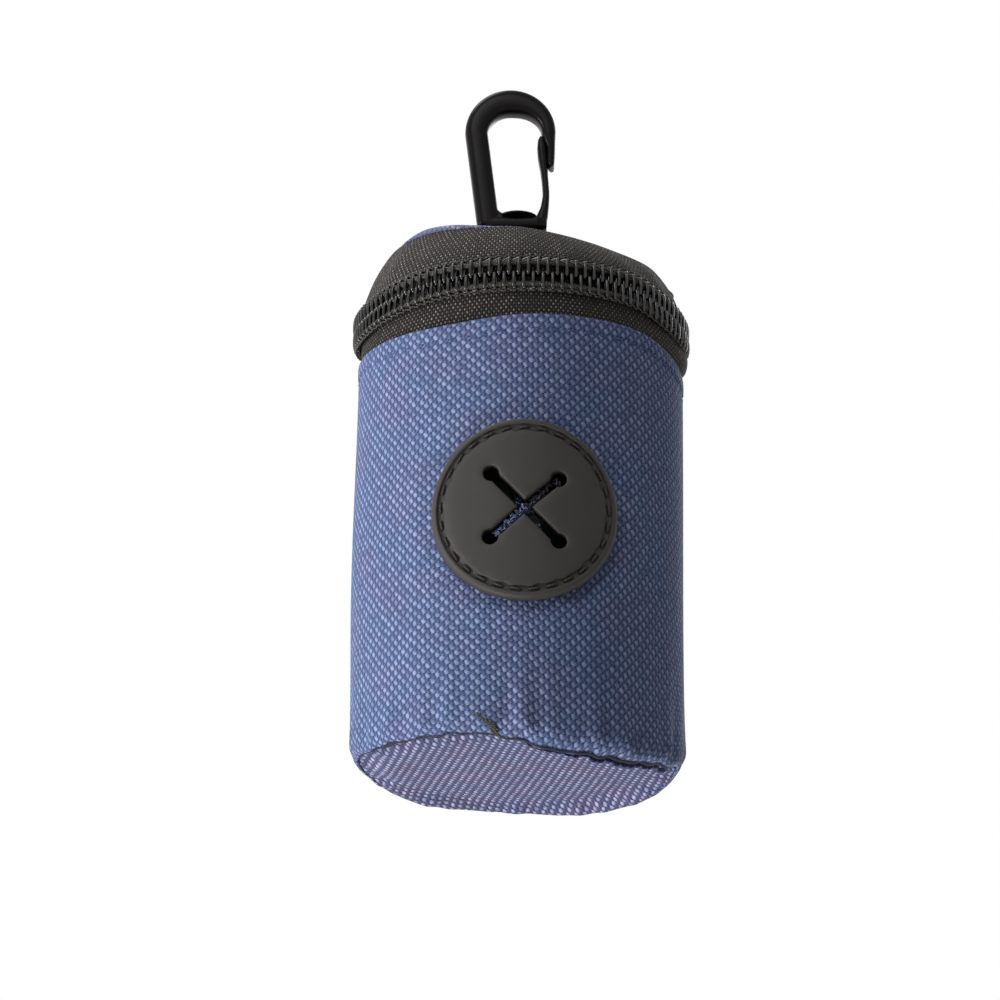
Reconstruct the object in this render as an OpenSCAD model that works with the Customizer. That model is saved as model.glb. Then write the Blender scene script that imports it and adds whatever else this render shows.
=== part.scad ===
// Dog poop bag dispenser: a sewn cylindrical pouch with a zipped lid, a rubber
// outlet and a swivel snap hook. Millimetres, +Z up, front towards -Y, origin at
// the centre of the flat bottom. Bearings are degrees from +X towards +Y.

/* [Pouch] */
// Outer diameter of the fabric wall
pouch_d = 55; // [50:0.5:70]
// Height of the hemmed edge of the wall
wall_h = 69.4; // [66:0.1:90]
// Thickness of the outer fabric
wall_t = 0.9; // [0.7:0.1:1.3]
// Thickness of the lining
lining_t = 0.5; // [0.3:0.1:0.8]
// Thickness of the bottom panel
bottom_t = 1.2; // [0.8:0.1:2]
// Distance of the bottom panel's edge from the wall's face
bottom_inset = 0.5; // [0.2:0.1:0.6]
// Width of the tape that binds the bottom seam
binding_w = 1.4; // [1.2:0.1:2]
// Height of the tape that binds the bottom seam
binding_h = 3.6; // [2:0.2:5]
// Width of the tape that binds the back seam
seam_w = 4.5; // [3:0.5:8]

/* [Stitching] */
// Diameter of the sewing thread
thread_d = 0.44; // [0.3:0.02:0.6]
// Length of one stitch
stitch_l = 2; // [1.5:0.1:2.4]
// Distance from one stitch to the next
stitch_pitch = 2.9; // [2.7:0.1:4]
// Distance of the hem's stitches from the hemmed edge
hem_w = 2.8; // [2:0.1:4]

/* [Bag outlet] */
// Diameter of the rubber disc
outlet_d = 30; // [26:0.5:34]
// Thickness of the rubber disc
outlet_t = 2.2; // [1.6:0.1:3]
// Height of the outlet's centre
outlet_z = 36; // [28:0.5:44]
// Sideways place of the outlet's centre
outlet_x = 1; // [-2:0.5:2]
// Reach of each arm of the slot, to its relief hole
slot_reach = 7.9; // [6:0.1:8.6]
// Width of the slot's arms
slot_w = 1.2; // [0.8:0.1:1.8]
// Diameter of the relief holes
relief_d = 2.4; // [2:0.1:2.6]
// How much wider the cut in the fabric behind is
fabric_cut = 0.6; // [0.4:0.1:1]
// Distance of the stitched groove from the disc's edge
groove_inset = 1.5; // [1.2:0.1:2]
// Width of the stitched groove
groove_w = 0.9; // [0.8:0.1:1.2]
// Depth of the stitched groove
groove_depth = 0.5; // [0.3:0.1:0.8]

/* [Zip] */
// Bearing that the zip covers round the pouch
zip_arc = 280; // [250:5:290]
// Thickness of the zip tape
tape_t = 0.6; // [0.4:0.1:0.9]
// Length of lower tape sewn in behind the wall
tape_tuck = 6.5; // [4:0.5:10]
// Bare lower tape between the hem and the coil
tape_show = 3.9; // [2.8:0.1:6]
// Height of one row of coil
coil_h = 2.5; // [2.3:0.1:3.4]
// Gap between the rows, which the slider's neck runs in
coil_gap = 0.9; // [0.8:0.1:1.4]
// How far the coil stands out of the tape
coil_t = 1.6; // [1.3:0.1:2]
// Thickness of the cord that the coil is sewn on
cord_t = 0.8; // [0.6:0.1:1]
// Distance from one coil loop to the next
loop_pitch = 1.58; // [1.4:0.02:2]
// Thickness of the coil's wire
wire_d = 1; // [0.7:0.05:1.2]
// Length of a zip stop
stop_l = 1.6; // [1.2:0.1:2.5]
// Height of the stops over the coil
stop_lift = 0.2; // [0.1:0.1:0.4]

/* [Slider and pull] */
// Length of the slider round the pouch
slider_l = 9.5; // [8:0.5:12]
// Thickness of the slider's front plate
plate_t = 0.9; // [0.7:0.1:1.3]
// Thickness of the slider's back plate
back_plate_t = 0.7; // [0.5:0.1:1]
// Running gap between the coil and the front plate
slider_lift = 0.85; // [0.8:0.05:1.2]
// Thickness of the neck between the rows
neck_t = 0.4; // [0.3:0.05:0.4]
// Length of the neck
neck_l = 2.4; // [1.5:0.1:4]
// Width of the slider's bridge
bridge_w = 1.6; // [1.2:0.1:2]
// Length of the bridge
bridge_l = 7.4; // [7:0.1:8]
// Thickness of the bridge's bow
bridge_t = 0.9; // [0.7:0.1:1.2]
// Length of each leg of the bridge
bridge_leg = 2.2; // [1.8:0.1:2.4]
// Length of the pull from its crossbar to its tip
pull_l = 14; // [11:0.5:20]
// Width of the pull
pull_w = 5; // [4.6:0.1:6]
// Thickness of the pull and diameter of its crossbar
pull_t = 1; // [0.8:0.1:1.3]

/* [Lid] */
// Diameter of the lid's top panel
lid_d = 44; // [40:0.5:47]
// Rise of the lid's top above the hem
lid_rise = 18.2; // [17:0.1:22]
// Thickness of the lid's top panel
lid_t = 1; // [0.8:0.1:1.5]
// Height above the coil at which the upper tape turns inwards
bend_rise = 1.6; // [1.2:0.1:2.5]
// Thickness of the lid's lining
lid_lining_t = 0.6; // [0.4:0.1:1]
// Width of the binding inside the lid's seam
lid_binding_w = 1.5; // [1:0.1:2]
// Height of the binding inside the lid's seam
lid_binding_h = 1.8; // [1.2:0.1:2.5]
// Distance of the hinge line from the wall's face
hinge_out = 0.4; // [0.3:0.1:0.8]
// Width of the hinge tape
hinge_w = 27; // [15:1:30]
// Thickness of the hinge tape
hinge_t = 0.6; // [0.4:0.1:0.9]
// Reach of the hinge tape above and below the hinge line
hinge_reach = 3.6; // [2.5:0.1:4]

/* [Strap and swivel] */
// Sideways place of the strap and the swivel
strap_x = 0; // [-3:0.5:3]
// Width of the webbing strap
strap_w = 8; // [6:0.5:12]
// Thickness of the webbing
strap_t = 1; // [0.8:0.1:1]
// Length of each sewn end of the strap
strap_foot = 6.5; // [5:0.5:9]
// Distance of the strap's stitches from the ends of its feet
stitch_margin = 1.2; // [1:0.1:1.6]
// Diameter of the swivel eye's bar
bar_d = 2; // [1.8:0.1:2.4]
// Width of the swivel eye's side arms
arm_w = 1.8; // [1.4:0.1:2.4]
// Thickness of the swivel eye from front to back
eye_t = 2.2; // [2:0.1:2.4]
// Height of the swivel eye's top bar
eye_top_t = 1.6; // [1.4:0.1:2.2]
// Diameter of the swivel's stud
stud_d = 2.6; // [2:0.1:3]
// Diameter of the stud's domed head
head_d = 6; // [5:0.1:6.4]
// Height of the head's straight rim
head_rim = 0.4; // [0.3:0.1:0.6]
// Height of the dome
dome_h = 1.1; // [0.8:0.1:1.4]

/* [Snap hook] */
// Width of the hook's bow
hook_w = 15.2; // [14:0.1:17]
// Height of the hook above its base
hook_h = 24.4; // [22:0.1:30]
// Thickness of the hook from front to back
hook_t = 4.5; // [3.6:0.1:4.6]
// Width of the bow's bar
bow_w = 3.5; // [2.8:0.1:3.6]
// Sideways place of the middle of the hook's base from the stud
hook_shift = -1.2; // [-1.4:0.1:-0.8]
// Sideways place of the bow's centre from the middle of the base
bow_x = -0.35; // [-0.6:0.05:0]
// Width of the hook's base
base_w = 12.4; // [12:0.1:12.8]
// Height of the hook's base
base_t = 2.2; // [2:0.1:2.6]
// Radius of the base's lower corners
base_corner = 2; // [1.8:0.1:2]
// Width of the hook's leg
leg_w = 3.8; // [3:0.1:3.9]
// Height at which the hook's point ends
point_z = 10; // [8:0.1:12]
// Width of the hook's point
point_w = 1.15; // [1:0.05:1.3]
// Width of the gate
gate_w = 1.3; // [1:0.1:1.4]
// Thickness of the gate from front to back
gate_t = 3.6; // [2.6:0.1:3.6]
// Gap between the gate's tip and the bow
gate_gap = 0.8; // [0.6:0.1:1.2]
// How far the gate's tip leans in from its root
gate_lean = 0.45; // [0.3:0.05:0.8]
// How far the gate's root swells past its sides
root_swell = 0.05; // [0:0.05:0.1]

/* [Bag roll] */
// Diameter of a full roll of bags
roll_d = 38; // [25:1:44]
// Height of the roll
roll_h = 62; // [50:1:64]
// Outer diameter of the cardboard core
core_d = 13; // [10:0.5:20]
// Wall of the cardboard core
core_t = 0.9; // [0.6:0.1:1.5]

/* [Clearances] */
// Running clearance between pieces that move
clear = 0.3; // [0.2:0.05:0.35]
// Play of the pull's crossbar under the bridge
bar_gap = 0.25; // [0.2:0.05:0.3]
// Play of the pull's window on each side of the bridge
bridge_play = 0.4; // [0.3:0.05:0.6]
// Gap under the hinge tape where it bends
sew_gap = 0.05; // [0.03:0.01:0.1]

/* [Hidden] */

// Faceting of the preview: large rings, small pieces
$fn = 96;
fn_small = 20;
// Overshoot of the cutting shapes
over = 1;

// Radii of the layers of the wall, from the outside in
wall_r = pouch_d / 2;
tape_r = wall_r - wall_t;
lining_r = tape_r - tape_t;
bag_space_r = lining_r - lining_t;

// Heights of the zip, from the hem up
coil_z0 = wall_h + tape_show;
coil_z1 = coil_z0 + coil_h;
coil_z2 = coil_z1 + coil_gap;
coil_z3 = coil_z2 + coil_h;
tape_edge = (coil_gap - neck_t) / 2 - clear / 2;
hinge_z = (coil_z1 + coil_z2) / 2;
hinge_y = wall_r + hinge_out;
bend_z = coil_z3 + bend_rise;
coil_r = tape_r + coil_t;

// Bearings of the zip's two ends, going round the front
zip_from = 90 + (360 - zip_arc) / 2;
zip_to = zip_from + zip_arc;
stop_deg = arc_deg(stop_l, coil_r);
row_from = zip_from + stop_deg + arc_deg(clear, coil_r);
row_to = zip_to - stop_deg - arc_deg(clear, coil_r);
loops = floor(arc_mm(row_to - row_from, coil_r) / loop_pitch);
loop_deg = (row_to - row_from) / loops;

// The lid
lid_z = wall_h + lid_rise;
lid_low = lid_z - lid_t;
lid_r = lid_d / 2;
lid_seam_r = lid_r - tape_t * 1.2;

// The slider, closed against the stop at the right of the hinge
plate_in = coil_r + slider_lift;
plate_out = plate_in + plate_t;
back_out = lining_r - clear;
slider_z0 = coil_z0 - clear - plate_t;
slider_z1 = coil_z3;
slider_half = arc_deg(slider_l / 2, coil_r);
slider_at = zip_to - 360 - stop_deg - arc_deg(clear, coil_r) - slider_half;

// The pull hangs on a crossbar under the bridge
pull_r = plate_out + bar_gap + pull_t / 2;
bridge_in = pull_r + pull_t / 2 + bar_gap;
bridge_foot = bridge_l / 2 - bridge_leg;
window_l = bridge_l / 2 + clear + pull_t / 2;
window_w = bridge_w + 2 * bridge_play;

// The swivel, from the lid up
bar_z = lid_z + clear + bar_d / 2;
arch_in = bar_d / 2 + clear;
arch_out = arch_in + strap_t;
eye_top = bar_z + arch_out + clear;
eye_half = strap_w / 2 + clear + arm_w;
hook_z = eye_top + eye_top_t + clear;
head_z = hook_z + base_t + clear;
dome_r = (pow(head_d / 2, 2) + dome_h * dome_h) / (2 * dome_h);

// The hook, measured from the middle of its base
bow_r = hook_w / 2;
bow_in = bow_r - bow_w;
bow_z = hook_h - bow_r;
leg_foot = base_w / 2 - leg_w;
point_x = bow_x + bow_r;
point_in = point_x - point_w;
gate_r = gate_w / 2 + root_swell;
gate_x = base_w / 2 - gate_w / 2 + root_swell;
gate_z = base_t + gate_r + clear / 2;
gate_top = bow_z - gate_gap;
gate_tip = point_in - clear / 2 - gate_w / 2 - gate_lean / 2;

// The roll stands on the bottom panel
roll_z = bottom_t + clear;

// Bearing taken up by a length along a circle, and the length of a bearing
function arc_deg(length, radius) = length / radius * 180 / PI;
function arc_mm(bearing, radius) = bearing * PI / 180 * radius;

// Ring between two radii and two heights
module tube(r_out, r_in, z0, z1) {
    translate([0, 0, z0])
        difference() {
            cylinder(r = r_out, h = z1 - z0);
            translate([0, 0, -over])
                cylinder(r = r_in, h = z1 - z0 + 2 * over);
        }
}

// Part of a ring, between two bearings
module band(r_out, r_in, z0, z1, from, to) {
    rotate([0, 0, from])
        rotate_extrude(angle = to - from)
            translate([r_in, z0])
                square([r_out - r_in, z1 - z0]);
}

// Side of the lid between two bearings: upright at the zip, then leaning in to
// the seam of the top panel
module lid_side(r_out, z0, from, to) {
    rotate([0, 0, from])
        rotate_extrude(angle = to - from)
            polygon([
                [lining_r, z0],
                [r_out, z0],
                [r_out, bend_z],
                [lid_r, lid_low],
                [lid_seam_r, lid_low],
                [lining_r, bend_z]
            ]);
}

// Cylinder that lies along Y, through a point of the XZ plane
module across(r, x, z, depth) {
    translate([x, depth / 2, z])
        rotate([90, 0, 0])
            cylinder(r = r, h = depth);
}

// Flat shape in the XZ plane, thick along Y and centred on it
module slab(thickness) {
    rotate([90, 0, 0])
        linear_extrude(thickness, center = true)
            children();
}

// One straight stitch, lying on the side of a circle round Z
module wall_stitch(bearing, radius, z, lean) {
    rotate([0, 0, bearing])
        translate([radius, 0, z])
            rotate([90 + lean, 0, 0])
                cylinder(d = thread_d, h = stitch_l, center = true, $fn = fn_small);
}

// X-shaped cut of the outlet, through whatever stands in front of the bag space
module outlet_cut(extra) {
    reach = slot_reach;
    depth = pouch_d / 2 + outlet_t + over;
    for (turn = [45, 135])
        translate([outlet_x, 0, outlet_z])
            rotate([90, turn, 0])
                translate([-reach, -(slot_w + extra) / 2, 0])
                    cube([2 * reach, slot_w + extra, depth]);
    for (turn = [45 : 90 : 315])
        translate([outlet_x, 0, outlet_z])
            rotate([90, turn, 0])
                translate([reach, 0, 0])
                    cylinder(d = relief_d + extra, h = depth, $fn = 32);
}

// Outer fabric, with a raised back that reaches up to the hinge
module wall_panel() {
    color("#5d6c96")
        difference() {
            tube(wall_r, tape_r, bottom_t, hinge_z - clear);
            band(wall_r + over, tape_r - over, wall_h, hinge_z + over, zip_from, zip_to);
            outlet_cut(fabric_cut);
        }
}

module wall_lining() {
    color("#3b3d45")
        difference() {
            tube(lining_r, bag_space_r, bottom_t + binding_h, wall_h);
            outlet_cut(fabric_cut);
        }
}

// Tape over the seam allowance of the wall's vertical seam
module seam_binding() {
    half = arc_deg(seam_w / 2, bag_space_r);
    color("#1d1d20")
        band(bag_space_r, bag_space_r - lining_t, bottom_t + binding_h, wall_h, 90 - half, 90 + half);
}

module bottom_panel() {
    color("#6f7399")
        cylinder(r = wall_r - bottom_inset, h = bottom_t);
}

module bottom_binding() {
    color("#1d1d20")
        tube(tape_r, tape_r - binding_w, bottom_t, bottom_t + binding_h);
}

module hem_stitches() {
    count = floor(arc_mm(360, wall_r) / stitch_pitch);
    color("#23263a")
        for (i = [0 : count - 1])
            wall_stitch(i * 360 / count, wall_r + thread_d / 2, wall_h - hem_w, 0);
}

// Rubber disc, moulded to the curve of the wall
module outlet_disc() {
    face_r = wall_r + outlet_t;
    groove_r = outlet_d / 2 - groove_inset;
    color("#3c3b39")
        difference() {
            intersection() {
                tube(face_r, wall_r, outlet_z - outlet_d, outlet_z + outlet_d);
                translate([outlet_x, 0, outlet_z])
                    rotate([90, 0, 0])
                        cylinder(d = outlet_d, h = face_r + over);
            }
            outlet_cut(0);
            intersection() {
                tube(face_r + over, face_r - groove_depth, outlet_z - outlet_d, outlet_z + outlet_d);
                translate([outlet_x, 0, outlet_z])
                    rotate([90, 0, 0])
                        tube(groove_r + groove_w / 2, groove_r - groove_w / 2, 0, face_r + 2 * over);
            }
        }
}

// Stitches that lie in the disc's groove and follow its curved face
module outlet_stitches() {
    ring_r = outlet_d / 2 - groove_inset;
    seat_r = wall_r + outlet_t - groove_depth + thread_d / 2;
    count = floor(arc_mm(360, ring_r) / stitch_pitch);
    color("#17171a")
        for (i = [0 : count - 1]) {
            turn = i * 360 / count;
            side = asin((outlet_x + ring_r * cos(turn)) / seat_r);
            lean = atan2(cos(turn), -sin(turn) / cos(side));
            wall_stitch(side - 90, seat_r, outlet_z + ring_r * sin(turn), lean);
        }
}

module lower_zip_tape() {
    color("#26262a")
        band(tape_r, lining_r, wall_h - tape_tuck, coil_z1 + tape_edge, zip_from, zip_to);
}

// One row of coil: a sewn cord with a loop of wire at each pitch
module coil_row(z0, cord_z) {
    loop_r = coil_r - wire_d / 2;
    union() {
        band(tape_r + cord_t, tape_r, cord_z, cord_z + coil_h / 2, row_from, row_to);
        for (i = [0 : loops - 1])
            rotate([0, 0, row_from + (i + 0.5) * loop_deg])
                translate([loop_r, 0, z0])
                    cylinder(d = wire_d, h = coil_h, $fn = fn_small);
    }
}

module lower_zip_coil() {
    color("#1a1a1c")
        coil_row(coil_z0, coil_z0 + coil_h / 4);
}

module upper_zip_coil() {
    color("#1a1a1c")
        coil_row(coil_z2, coil_z2 + coil_h / 4);
}

// Stops at both ends of the lower row
module zip_stops() {
    color("#1f1f22") {
        band(coil_r + stop_lift, tape_r, coil_z0, coil_z1, zip_from, zip_from + stop_deg);
        band(coil_r + stop_lift, tape_r, coil_z0, coil_z1, zip_to - stop_deg, zip_to);
    }
}

// Tape sewn over the hinge line at the back
module hinge_tape() {
    half = arc_deg(hinge_w / 2, wall_r);
    inner = wall_r + sew_gap;
    color("#232327")
        band(inner + hinge_t, inner, hinge_z - hinge_reach, hinge_z + hinge_reach, 90 - half, 90 + half);
}

module upper_zip_tape() {
    color("#2b2a2c")
        lid_side(tape_r, coil_z2 - tape_edge, zip_from, zip_to);
}

module lid_back_panel() {
    color("#56648e")
        lid_side(wall_r, hinge_z + clear, zip_to - 360, zip_from);
}

module lid_top() {
    color("#5d6c96")
        translate([0, 0, lid_low])
            cylinder(r1 = lid_r, r2 = lid_r - lid_t / 2, h = lid_t);
}

module lid_binding() {
    inner = lid_seam_r - lid_binding_w;
    color("#1d1d20")
        tube(lid_seam_r, inner, lid_low - lid_binding_h, lid_low);
}

module lid_lining() {
    color("#3b3d45")
        translate([0, 0, lid_low - lid_lining_t])
            cylinder(r = lid_seam_r - lid_binding_w, h = lid_lining_t);
}

// Webbing that arches over the swivel's bar, with its two ends sewn to the lid
module strap_loop() {
    reach = arch_out + strap_foot;
    color("#202023")
        translate([strap_x - strap_w / 2, 0, bar_z])
            difference() {
                union() {
                    rotate([0, 90, 0])
                        cylinder(r = arch_out, h = strap_w);
                    translate([0, -arch_out, lid_z - bar_z])
                        cube([strap_w, 2 * arch_out, bar_z - lid_z]);
                    translate([0, -reach, lid_z - bar_z])
                        cube([strap_w, 2 * reach, strap_t]);
                }
                translate([-over, 0, 0])
                    rotate([0, 90, 0])
                        cylinder(r = arch_in, h = strap_w + 2 * over);
                translate([-over, -arch_in, -3 * arch_out])
                    cube([strap_w + 2 * over, 2 * arch_in, 3 * arch_out]);
                translate([-over, -2 * arch_out, -3 * arch_out])
                    cube([strap_w + 2 * over, 4 * arch_out, 3 * arch_out + lid_z - bar_z]);
            }
}

// Rows of stitches across each sewn end of the strap
module strap_stitches() {
    lines = 3;
    first = arch_out + stitch_margin;
    gap = (strap_foot - 2 * stitch_margin) / (lines - 1);
    count = floor(strap_w / stitch_pitch);
    color("#3a3a40")
        for (side = [-1, 1])
            for (line = [0 : lines - 1])
                for (i = [0 : count - 1]) {
                    x = strap_x + (i - (count - 1) / 2) * stitch_pitch;
                    translate([x, side * (first + line * gap), lid_z + strap_t + thread_d / 2])
                        rotate([0, 90, 0])
                            cylinder(d = thread_d, h = stitch_l, center = true, $fn = fn_small);
                }
}

// Plates joined by a thin neck, with the bridge that holds the pull outside
module zip_slider() {
    from = slider_at - slider_half;
    to = slider_at + slider_half;
    neck = arc_deg(neck_l / 2, coil_r);
    lip_in = tape_r + cord_t + clear;
    color("#2a2a2c")
        union() {
            band(plate_out, plate_in, slider_z0, slider_z1, from, to);
            band(plate_out, lip_in, slider_z0, slider_z0 + plate_t, from, to);
            band(back_out, back_out - back_plate_t, slider_z0, slider_z1, from, to);
            band(
                plate_in + plate_t / 2,
                back_out - back_plate_t / 2,
                hinge_z - neck_t / 2,
                hinge_z + neck_t / 2,
                slider_at - neck,
                slider_at + neck
            );
            slider_bridge();
        }
}

module slider_bridge() {
    foot_r = plate_in + plate_t / 2;
    bow_top = bridge_in + bridge_t;
    rotate([0, 0, slider_at])
        translate([foot_r, -bridge_l / 2, hinge_z - bridge_w / 2])
            difference() {
                cube([bow_top - foot_r, bridge_l, bridge_w]);
                translate([-over, bridge_l / 2 - bridge_foot, -over])
                    cube([bridge_in - foot_r + over, 2 * bridge_foot, bridge_w + 2 * over]);
            }
}

// Pull, lying back along the zip towards the hinge
module zip_pull() {
    tip_r = pull_w / 2;
    color("#2e2e31")
        rotate([0, 0, slider_at])
            translate([pull_r, 0, hinge_z]) {
                cylinder(d = pull_t, h = pull_w, center = true, $fn = 32);
                translate([-pull_t / 2, 0, 0])
                    rotate([90, 0, 90])
                        linear_extrude(pull_t)
                            difference() {
                                union() {
                                    translate([0, -pull_w / 2])
                                        square([pull_l - tip_r, pull_w]);
                                    translate([pull_l - tip_r, 0])
                                        circle(r = tip_r);
                                }
                                translate([-over, -window_w / 2])
                                    square([window_l + over, window_w]);
                            }
            }
}

// Closed loop with a stud on top, whose domed head keeps the hook on
module swivel_eye() {
    color("#232325")
        translate([strap_x, 0, 0]) {
            translate([-eye_half, 0, bar_z])
                rotate([0, 90, 0])
                    cylinder(d = bar_d, h = 2 * eye_half);
            for (side = [-1, 1])
                translate([side * (eye_half - arm_w / 2), 0, bar_z])
                    eye_arm();
            translate([-eye_half, -eye_t / 2, eye_top])
                cube([2 * eye_half, eye_t, eye_top_t]);
            translate([0, 0, eye_top + eye_top_t / 2])
                cylinder(d = stud_d, h = head_z + head_rim / 2 - eye_top - eye_top_t / 2);
            translate([0, 0, head_z])
                cylinder(d = head_d, h = head_rim);
            translate([0, 0, head_z + head_rim])
                intersection() {
                    translate([0, 0, dome_h - dome_r])
                        sphere(r = dome_r);
                    cylinder(r = head_d, h = dome_r);
                }
        }
}

module eye_arm() {
    rotate([0, 90, 0])
        cylinder(d = eye_t, h = arm_w, center = true);
    translate([-arm_w / 2, -eye_t / 2, 0])
        cube([arm_w, eye_t, eye_top + eye_top_t - bar_z]);
}

// Half-round bow, a leaning leg, a rounded base with the stud's bore, and the
// short point that the gate closes on
module hook_frame() {
    color("#2b2928")
        translate([strap_x + hook_shift, 0, hook_z])
            difference() {
                union() {
                    hook_bow();
                    slab(hook_t)
                        polygon([
                            [bow_x - bow_r, bow_z],
                            [-base_w / 2, base_corner],
                            [-base_w / 2, base_t],
                            [-leg_foot, base_t],
                            [bow_x - bow_in, bow_z]
                        ]);
                    slab(hook_t)
                        polygon([
                            [point_x, bow_z],
                            [point_x - point_w * 0.05, point_z + point_w],
                            [point_x - point_w * 0.45, point_z],
                            [point_in, point_z],
                            [point_in, bow_z]
                        ]);
                    hook_base();
                }
                translate([-hook_shift, 0, -over])
                    cylinder(d = stud_d + 2 * clear, h = base_t + 2 * over);
            }
}

module hook_bow() {
    difference() {
        across(bow_r, bow_x, bow_z, hook_t);
        across(bow_in, bow_x, bow_z, hook_t + 2 * over);
        translate([-hook_w, -hook_t, bow_z - hook_w])
            cube([2 * hook_w, 2 * hook_t, hook_w]);
    }
}

module hook_base() {
    half = base_w / 2 - base_corner;
    difference() {
        union() {
            for (side = [-1, 1])
                across(base_corner, side * half, base_corner, hook_t);
            translate([-half, -hook_t / 2, 0])
                cube([2 * half, hook_t, base_t]);
            translate([-base_w / 2, -hook_t / 2, base_corner])
                cube([base_w, hook_t, base_t - base_corner]);
        }
        translate([-base_w, -hook_t, base_t])
            cube([2 * base_w, 2 * hook_t, base_corner * 2]);
    }
}

// Thin springy tongue that stands on the base and closes inside the point
module hook_gate() {
    color("#333231")
        translate([strap_x + hook_shift, 0, hook_z])
            union() {
                across(gate_r, gate_x, gate_z, gate_t);
                slab(gate_t)
                    polygon([
                        [gate_x - gate_r, gate_z],
                        [gate_x + gate_r, gate_z],
                        [gate_tip + gate_w / 2, gate_top - gate_w / 2],
                        [gate_tip + gate_w / 4, gate_top],
                        [gate_tip - gate_w / 4, gate_top],
                        [gate_tip - gate_w / 2, gate_top - gate_w / 2]
                    ]);
            }
}

module roll_core() {
    color("#a88a66")
        tube(core_d / 2, core_d / 2 - core_t, roll_z, roll_z + roll_h);
}

module bag_roll() {
    color("#3f5f4a")
        tube(roll_d / 2, core_d / 2, roll_z, roll_z + roll_h);
}

wall_panel();
wall_lining();
seam_binding();
bottom_panel();
bottom_binding();
hem_stitches();
outlet_disc();
outlet_stitches();
lower_zip_tape();
lower_zip_coil();
zip_stops();
hinge_tape();
upper_zip_tape();
upper_zip_coil();
lid_back_panel();
lid_top();
lid_lining();
lid_binding();
strap_loop();
strap_stitches();
zip_slider();
zip_pull();
swivel_eye();
hook_frame();
hook_gate();
roll_core();
bag_roll();
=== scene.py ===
# Poop bag pouch with a zipped lid, a rubber outlet and a snap hook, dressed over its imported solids
import math

import bmesh
import bpy
import numpy as np
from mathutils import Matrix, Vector
from mathutils.geometry import delaunay_2d_cdt


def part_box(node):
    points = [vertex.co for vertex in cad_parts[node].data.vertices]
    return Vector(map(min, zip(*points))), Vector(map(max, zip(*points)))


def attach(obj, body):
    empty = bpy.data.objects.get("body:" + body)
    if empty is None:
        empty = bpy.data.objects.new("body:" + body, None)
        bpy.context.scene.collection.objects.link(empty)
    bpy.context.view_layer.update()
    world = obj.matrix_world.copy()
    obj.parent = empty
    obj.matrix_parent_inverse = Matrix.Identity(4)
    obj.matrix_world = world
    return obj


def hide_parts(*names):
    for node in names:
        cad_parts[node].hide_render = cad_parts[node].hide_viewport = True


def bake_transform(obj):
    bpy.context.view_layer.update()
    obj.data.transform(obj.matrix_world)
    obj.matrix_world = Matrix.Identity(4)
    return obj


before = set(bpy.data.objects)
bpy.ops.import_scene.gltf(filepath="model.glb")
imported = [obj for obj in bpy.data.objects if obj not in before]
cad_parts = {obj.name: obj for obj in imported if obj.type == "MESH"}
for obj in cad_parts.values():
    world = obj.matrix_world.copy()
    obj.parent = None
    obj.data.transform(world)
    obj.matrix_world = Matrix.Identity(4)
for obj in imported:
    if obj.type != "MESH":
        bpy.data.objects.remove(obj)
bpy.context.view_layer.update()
rng = np.random.default_rng(11)


def nodeBox(node):
    low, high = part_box(node)
    return np.array(low) * 1000, np.array(high) * 1000  # mm, as every size below


# Sizes that several pieces share, read off the solids
_, (wallRadius, _, backTop) = nodeBox("wall_panel")
hemHeight = nodeBox("wall_lining")[1][2]
tapeRadius = nodeBox("lower_zip_tape")[1][0]
rowLow, rowHigh = nodeBox("lower_zip_coil"), nodeBox("upper_zip_coil")
chainMid = (rowLow[1][2] + rowHigh[0][2]) / 2
chainHalf = (rowHigh[1][2] - rowLow[0][2]) / 2
coilRadius = rowLow[1][0]
_, (lidRadius, _, lidTop) = nodeBox("lid_top")
outletLow, outletHigh = nodeBox("outlet_disc")

# Bearings in degrees, 0 to the right, -90 to the front; the zip runs between its two ends
zipStart, zipEnd = -230, 50
backWindow = (50, 130)


# Mesh helpers


def around(stops, bearing):
    # smooth value at a bearing, through stops of (bearing, value) that close round the pouch
    x, y = np.array(stops, float).T
    x = np.concatenate([x[-2:] - 360, x, x[:2] + 360])
    y = np.concatenate([y[-2:], y, y[:2]])
    slope = np.gradient(y, x)
    at = np.mod(np.asarray(bearing, float) - stops[0][0], 360) + stops[0][0]
    i = np.clip(np.searchsorted(x, at, side="right") - 1, 0, len(x) - 2)
    step = x[i + 1] - x[i]
    t = (at - x[i]) / step
    ends = (2 * t**3 - 3 * t**2 + 1) * y[i] + (3 * t**2 - 2 * t**3) * y[i + 1]
    return ends + ((t**3 - 2 * t**2 + t) * slope[i] + (t**3 - t**2) * slope[i + 1]) * step


def eased(value, low, high):
    t = np.clip((np.asarray(value, float) - low) / (high - low), 0, 1)
    return t * t * (3 - 2 * t)


def bump(value, centre, width):
    return np.exp(-(((np.asarray(value, float) - centre) / width) ** 2))


def wave(degrees):
    return np.cos(np.radians(degrees))


def turned(radius, bearing, z):
    a = np.radians(bearing)
    return np.stack(np.broadcast_arrays(radius * np.cos(a), radius * np.sin(a), z), -1)


def newPiece(name, points, faces, uvs=None, smooth=True):
    mesh = bpy.data.meshes.new(name)
    mesh.from_pydata((np.asarray(points) / 1000).tolist(), [], faces)
    if uvs is not None:
        mesh.uv_layers.new(name="cloth").data.foreach_set("uv", np.asarray(uvs, float).ravel())
    mesh.polygons.foreach_set("use_smooth", [smooth] * len(mesh.polygons))
    mesh.validate()
    shape = bmesh.new()
    shape.from_mesh(mesh)
    bmesh.ops.recalc_face_normals(shape, faces=shape.faces)
    shape.to_mesh(mesh)
    shape.free()
    piece = bpy.data.objects.new(name, mesh)
    bpy.context.scene.collection.objects.link(piece)
    return piece


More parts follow.
